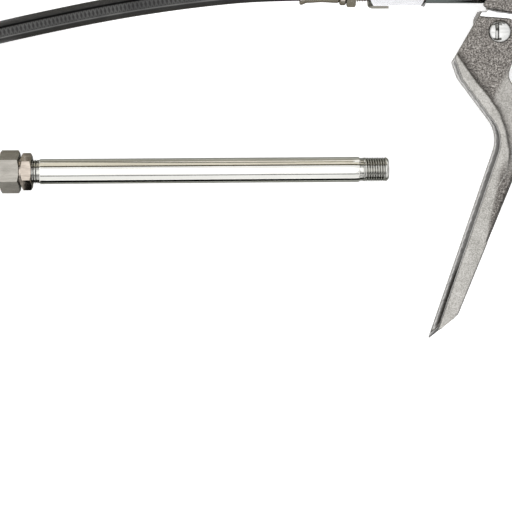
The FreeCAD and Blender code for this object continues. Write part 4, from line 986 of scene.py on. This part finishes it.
def make_bleeder():
    """The bleeder's head is a small knurled knob."""
    place = Local(Vector(joints["bleeder_turn"]["pos_m"]), GUN.y, GUN.z)
    rows = [(-5.5, 0.02), (-5.5, 2.2), (-4.7, 2.98), (0.15, 2.98), (0.15, 4.2), (1.2, 4.2), (1.2, 4.7)]
    rows += knurl_rows(1.5, 5.3, 4.9, 0.3, 24, 5)
    rows += [(5.6, 4.7), (6.4, 4.1), (6.4, 2.4), (8.7, 2.05), (9.0, 1.8), (9.0, 0.02)]
    mesh = spun("knurled_bleeder", place, rows, 120, closed=False)
    return finish_piece("knurled_bleeder", mesh, "bleeder", "brass", "brass", ["bleeder_valve"], 30)


def make_rod_handle():
    mesh = remeshed("rod_handle", 0.5, 4)
    return finish_piece("turned_rod_handle", mesh, "follower", "nickel", "nickel", ["rod_handle"], 60)


# ---------------------------------------------------------------- CAD pieces that stay
def paint_cad_nodes():
    """Each CAD node that is shown takes its slot's material."""
    special = {
        "pipe_coupler_body": "satin_nickel",
        "hose_coupler_body": "satin_nickel",
        "pipe_adaptor": "rose_nickel",
    }
    slots = {part["node"]: part["material_slot"] for part in frame["record"]["subparts"]}
    for name, node in frame["nodes"].items():
        if node.hide_render:
            continue
        node.data.materials.clear()
        node.data.materials.append(MATERIALS[special.get(name, slots[name])])


# ---------------------------------------------------------------- stage and light
def card(name, corners, colour, camera_sees):
    """A flat card of the studio, from its corners."""
    mesh = bpy.data.meshes.new(name)
    mesh.from_pydata([(x, y, 0) for x, y in corners], [], [tuple(range(len(corners)))])
    board = bpy.data.objects.new(name, mesh)
    bpy.context.scene.collection.objects.link(board)
    material = bpy.data.materials.new(name)
    material.use_nodes = True
    shader = material.node_tree.nodes["Principled BSDF"]
    shader.inputs["Base Color"].default_value = (*colour, 1)
    shader.inputs["Roughness"].default_value = 0.9
    shader.inputs["Specular IOR Level"].default_value = 0.0
    board.data.materials.append(material)
    board.visible_camera = camera_sees
    if not camera_sees:
        board.visible_diffuse = False
        board.visible_shadow = False
        board.visible_transmission = False
    return board


def rectangle(width, height):
    x = width / 2
    y = height / 2
    return [(-x, -y), (x, -y), (x, y), (-x, y)]


def make_floor():
    """The table glows a little, as a light table does."""
    floor = card("floor", rectangle(6.0, 6.0), (0.94, 0.94, 0.94), True)
    shader = floor.data.materials[0].node_tree.nodes["Principled BSDF"]
    shader.inputs["Emission Color"].default_value = (1, 1, 1, 1)
    shader.inputs["Emission Strength"].default_value = 0.42
    return floor


def make_flags():
    """Cards beside and on the table, which put lengthwise lines in the bright pipe."""
    length = 2.4
    lift = 0.0004
    centre = Vector((pivot.x - 0.09, pivot.y - 0.054, 0))
    # A standing card: its angle up from the back of the table, its distance, height and colour.
    standing = [
        ("flag_warm_back", 21.0, 0.90, 0.62, (0.60, 0.565, 0.48)),
        ("flag_high_back", 47.5, 0.88, 0.21, (0.075, 0.065, 0.045)),
        ("flag_high_front", 136.0, 2.60, 0.30, (0.05, 0.05, 0.05)),
    ]
    for name, degrees, distance, height, colour in standing:
        board = card(name, rectangle(length, height), colour, False)
        angle = math.radians(degrees)
        board.location = centre + Vector((0, math.cos(angle), math.sin(angle))) * distance
        board.rotation_euler = (angle + math.pi / 2, 0, 0)

    # The lying cards end where the pipe does, so that its coupler sees others than the pipe.
    pipe_left = -0.098
    coupler_right = -0.0985
    coupler_left = -0.20
    near_front = -0.0145
    near_back = 0.022
    low_front = [(pipe_left, near_front), (-0.11, -0.13), (0.075, -0.13), (0.055, near_front)]
    low_left = [(coupler_left, -0.012), (-0.40, -0.4), (-0.12, -0.4), (coupler_right, -0.012)]
    low_back = [(pipe_left, near_back), (0.050, near_back), (0.045, 0.9), (-0.20, 0.9)]
    under = [(coupler_right, -0.0143), (0.06, -0.0143), (0.06, 0.0218), (coupler_right, 0.0218)]
    under_left = [(coupler_left, -0.0118), (-0.0988, -0.0118), (-0.0988, 0.03), (coupler_left, 0.03)]
    lying = [
        ("flag_low_front", low_front, (0.004, 0.004, 0.004)),
        ("flag_low_left", low_left, (0.75, 0.75, 0.73)),
        ("flag_low_back", low_back, (0.33, 0.315, 0.27)),
        ("flag_under", under, (0.42, 0.43, 0.39)),
        ("flag_under_left", under_left, (0.66, 0.65, 0.57)),
    ]
    for name, corners, colour in lying:
        card(name, corners, colour, False).location = centre + Vector((0, 0, lift))


def make_light():
    world = bpy.data.worlds.new("studio")
    world.use_nodes = True
    background = world.node_tree.nodes["Background"]
    background.inputs["Color"].default_value = (1.0, 1.0, 1.0, 1)
    background.inputs["Strength"].default_value = 1.08
    bpy.context.scene.world = world
    # A lamp: its place, its width in metres and its power in watts.
    lamps = [
        ("overhead", (-0.1, -0.25, 1.5), 1.2, 5.0),
        ("side", (-0.9, 0.8, 1.0), 0.8, 2.0),
    ]
    target = middle_of("lever")
    for name, place, wide, power in lamps:
        data = bpy.data.lights.new(name, "AREA")
        data.size = wide
        data.energy = power
        lamp = bpy.data.objects.new(name, data)
        lamp.location = place
        lamp.rotation_euler = (Vector(place) - target).to_track_quat("Z", "Y").to_euler()
        bpy.context.scene.collection.objects.link(lamp)


make_camera()
hose, hose_path = make_hose()
front_fitting = end_frame("hose_fitting", -X_AXIS, -GUN.z)
front_ferrule = end_frame("front_ferrule", -X_AXIS, -GUN.z)
rear_fitting = moved(HOSE_END, 27.0)
rear_ferrule = moved(HOSE_END, 45.0)
make_hose_fitting("turned_hose_fitting", "hose_fitting", front_fitting)
make_ferrule("crimped_ferrule", "front_ferrule", front_ferrule)
end_fitting = make_hose_fitting("turned_end_fitting", "hose_end_fitting", rear_fitting)
end_ferrule = make_ferrule("crimped_rear_ferrule", "rear_ferrule", rear_ferrule)
end_nut = make_coupler_nut("hose", HOSE_END)
make_union_sleeve()
make_pipe()
make_coupler_nut("pipe", PIPE)
make_lever()
make_head()
make_pivot_shaft()
make_lever_spring()
make_grip_sleeve()
make_grip_handle()
make_barrel()
make_end_cap()
make_bleeder()
make_rod_handle()
paint_cad_nodes()
make_floor()
make_flags()
make_light()
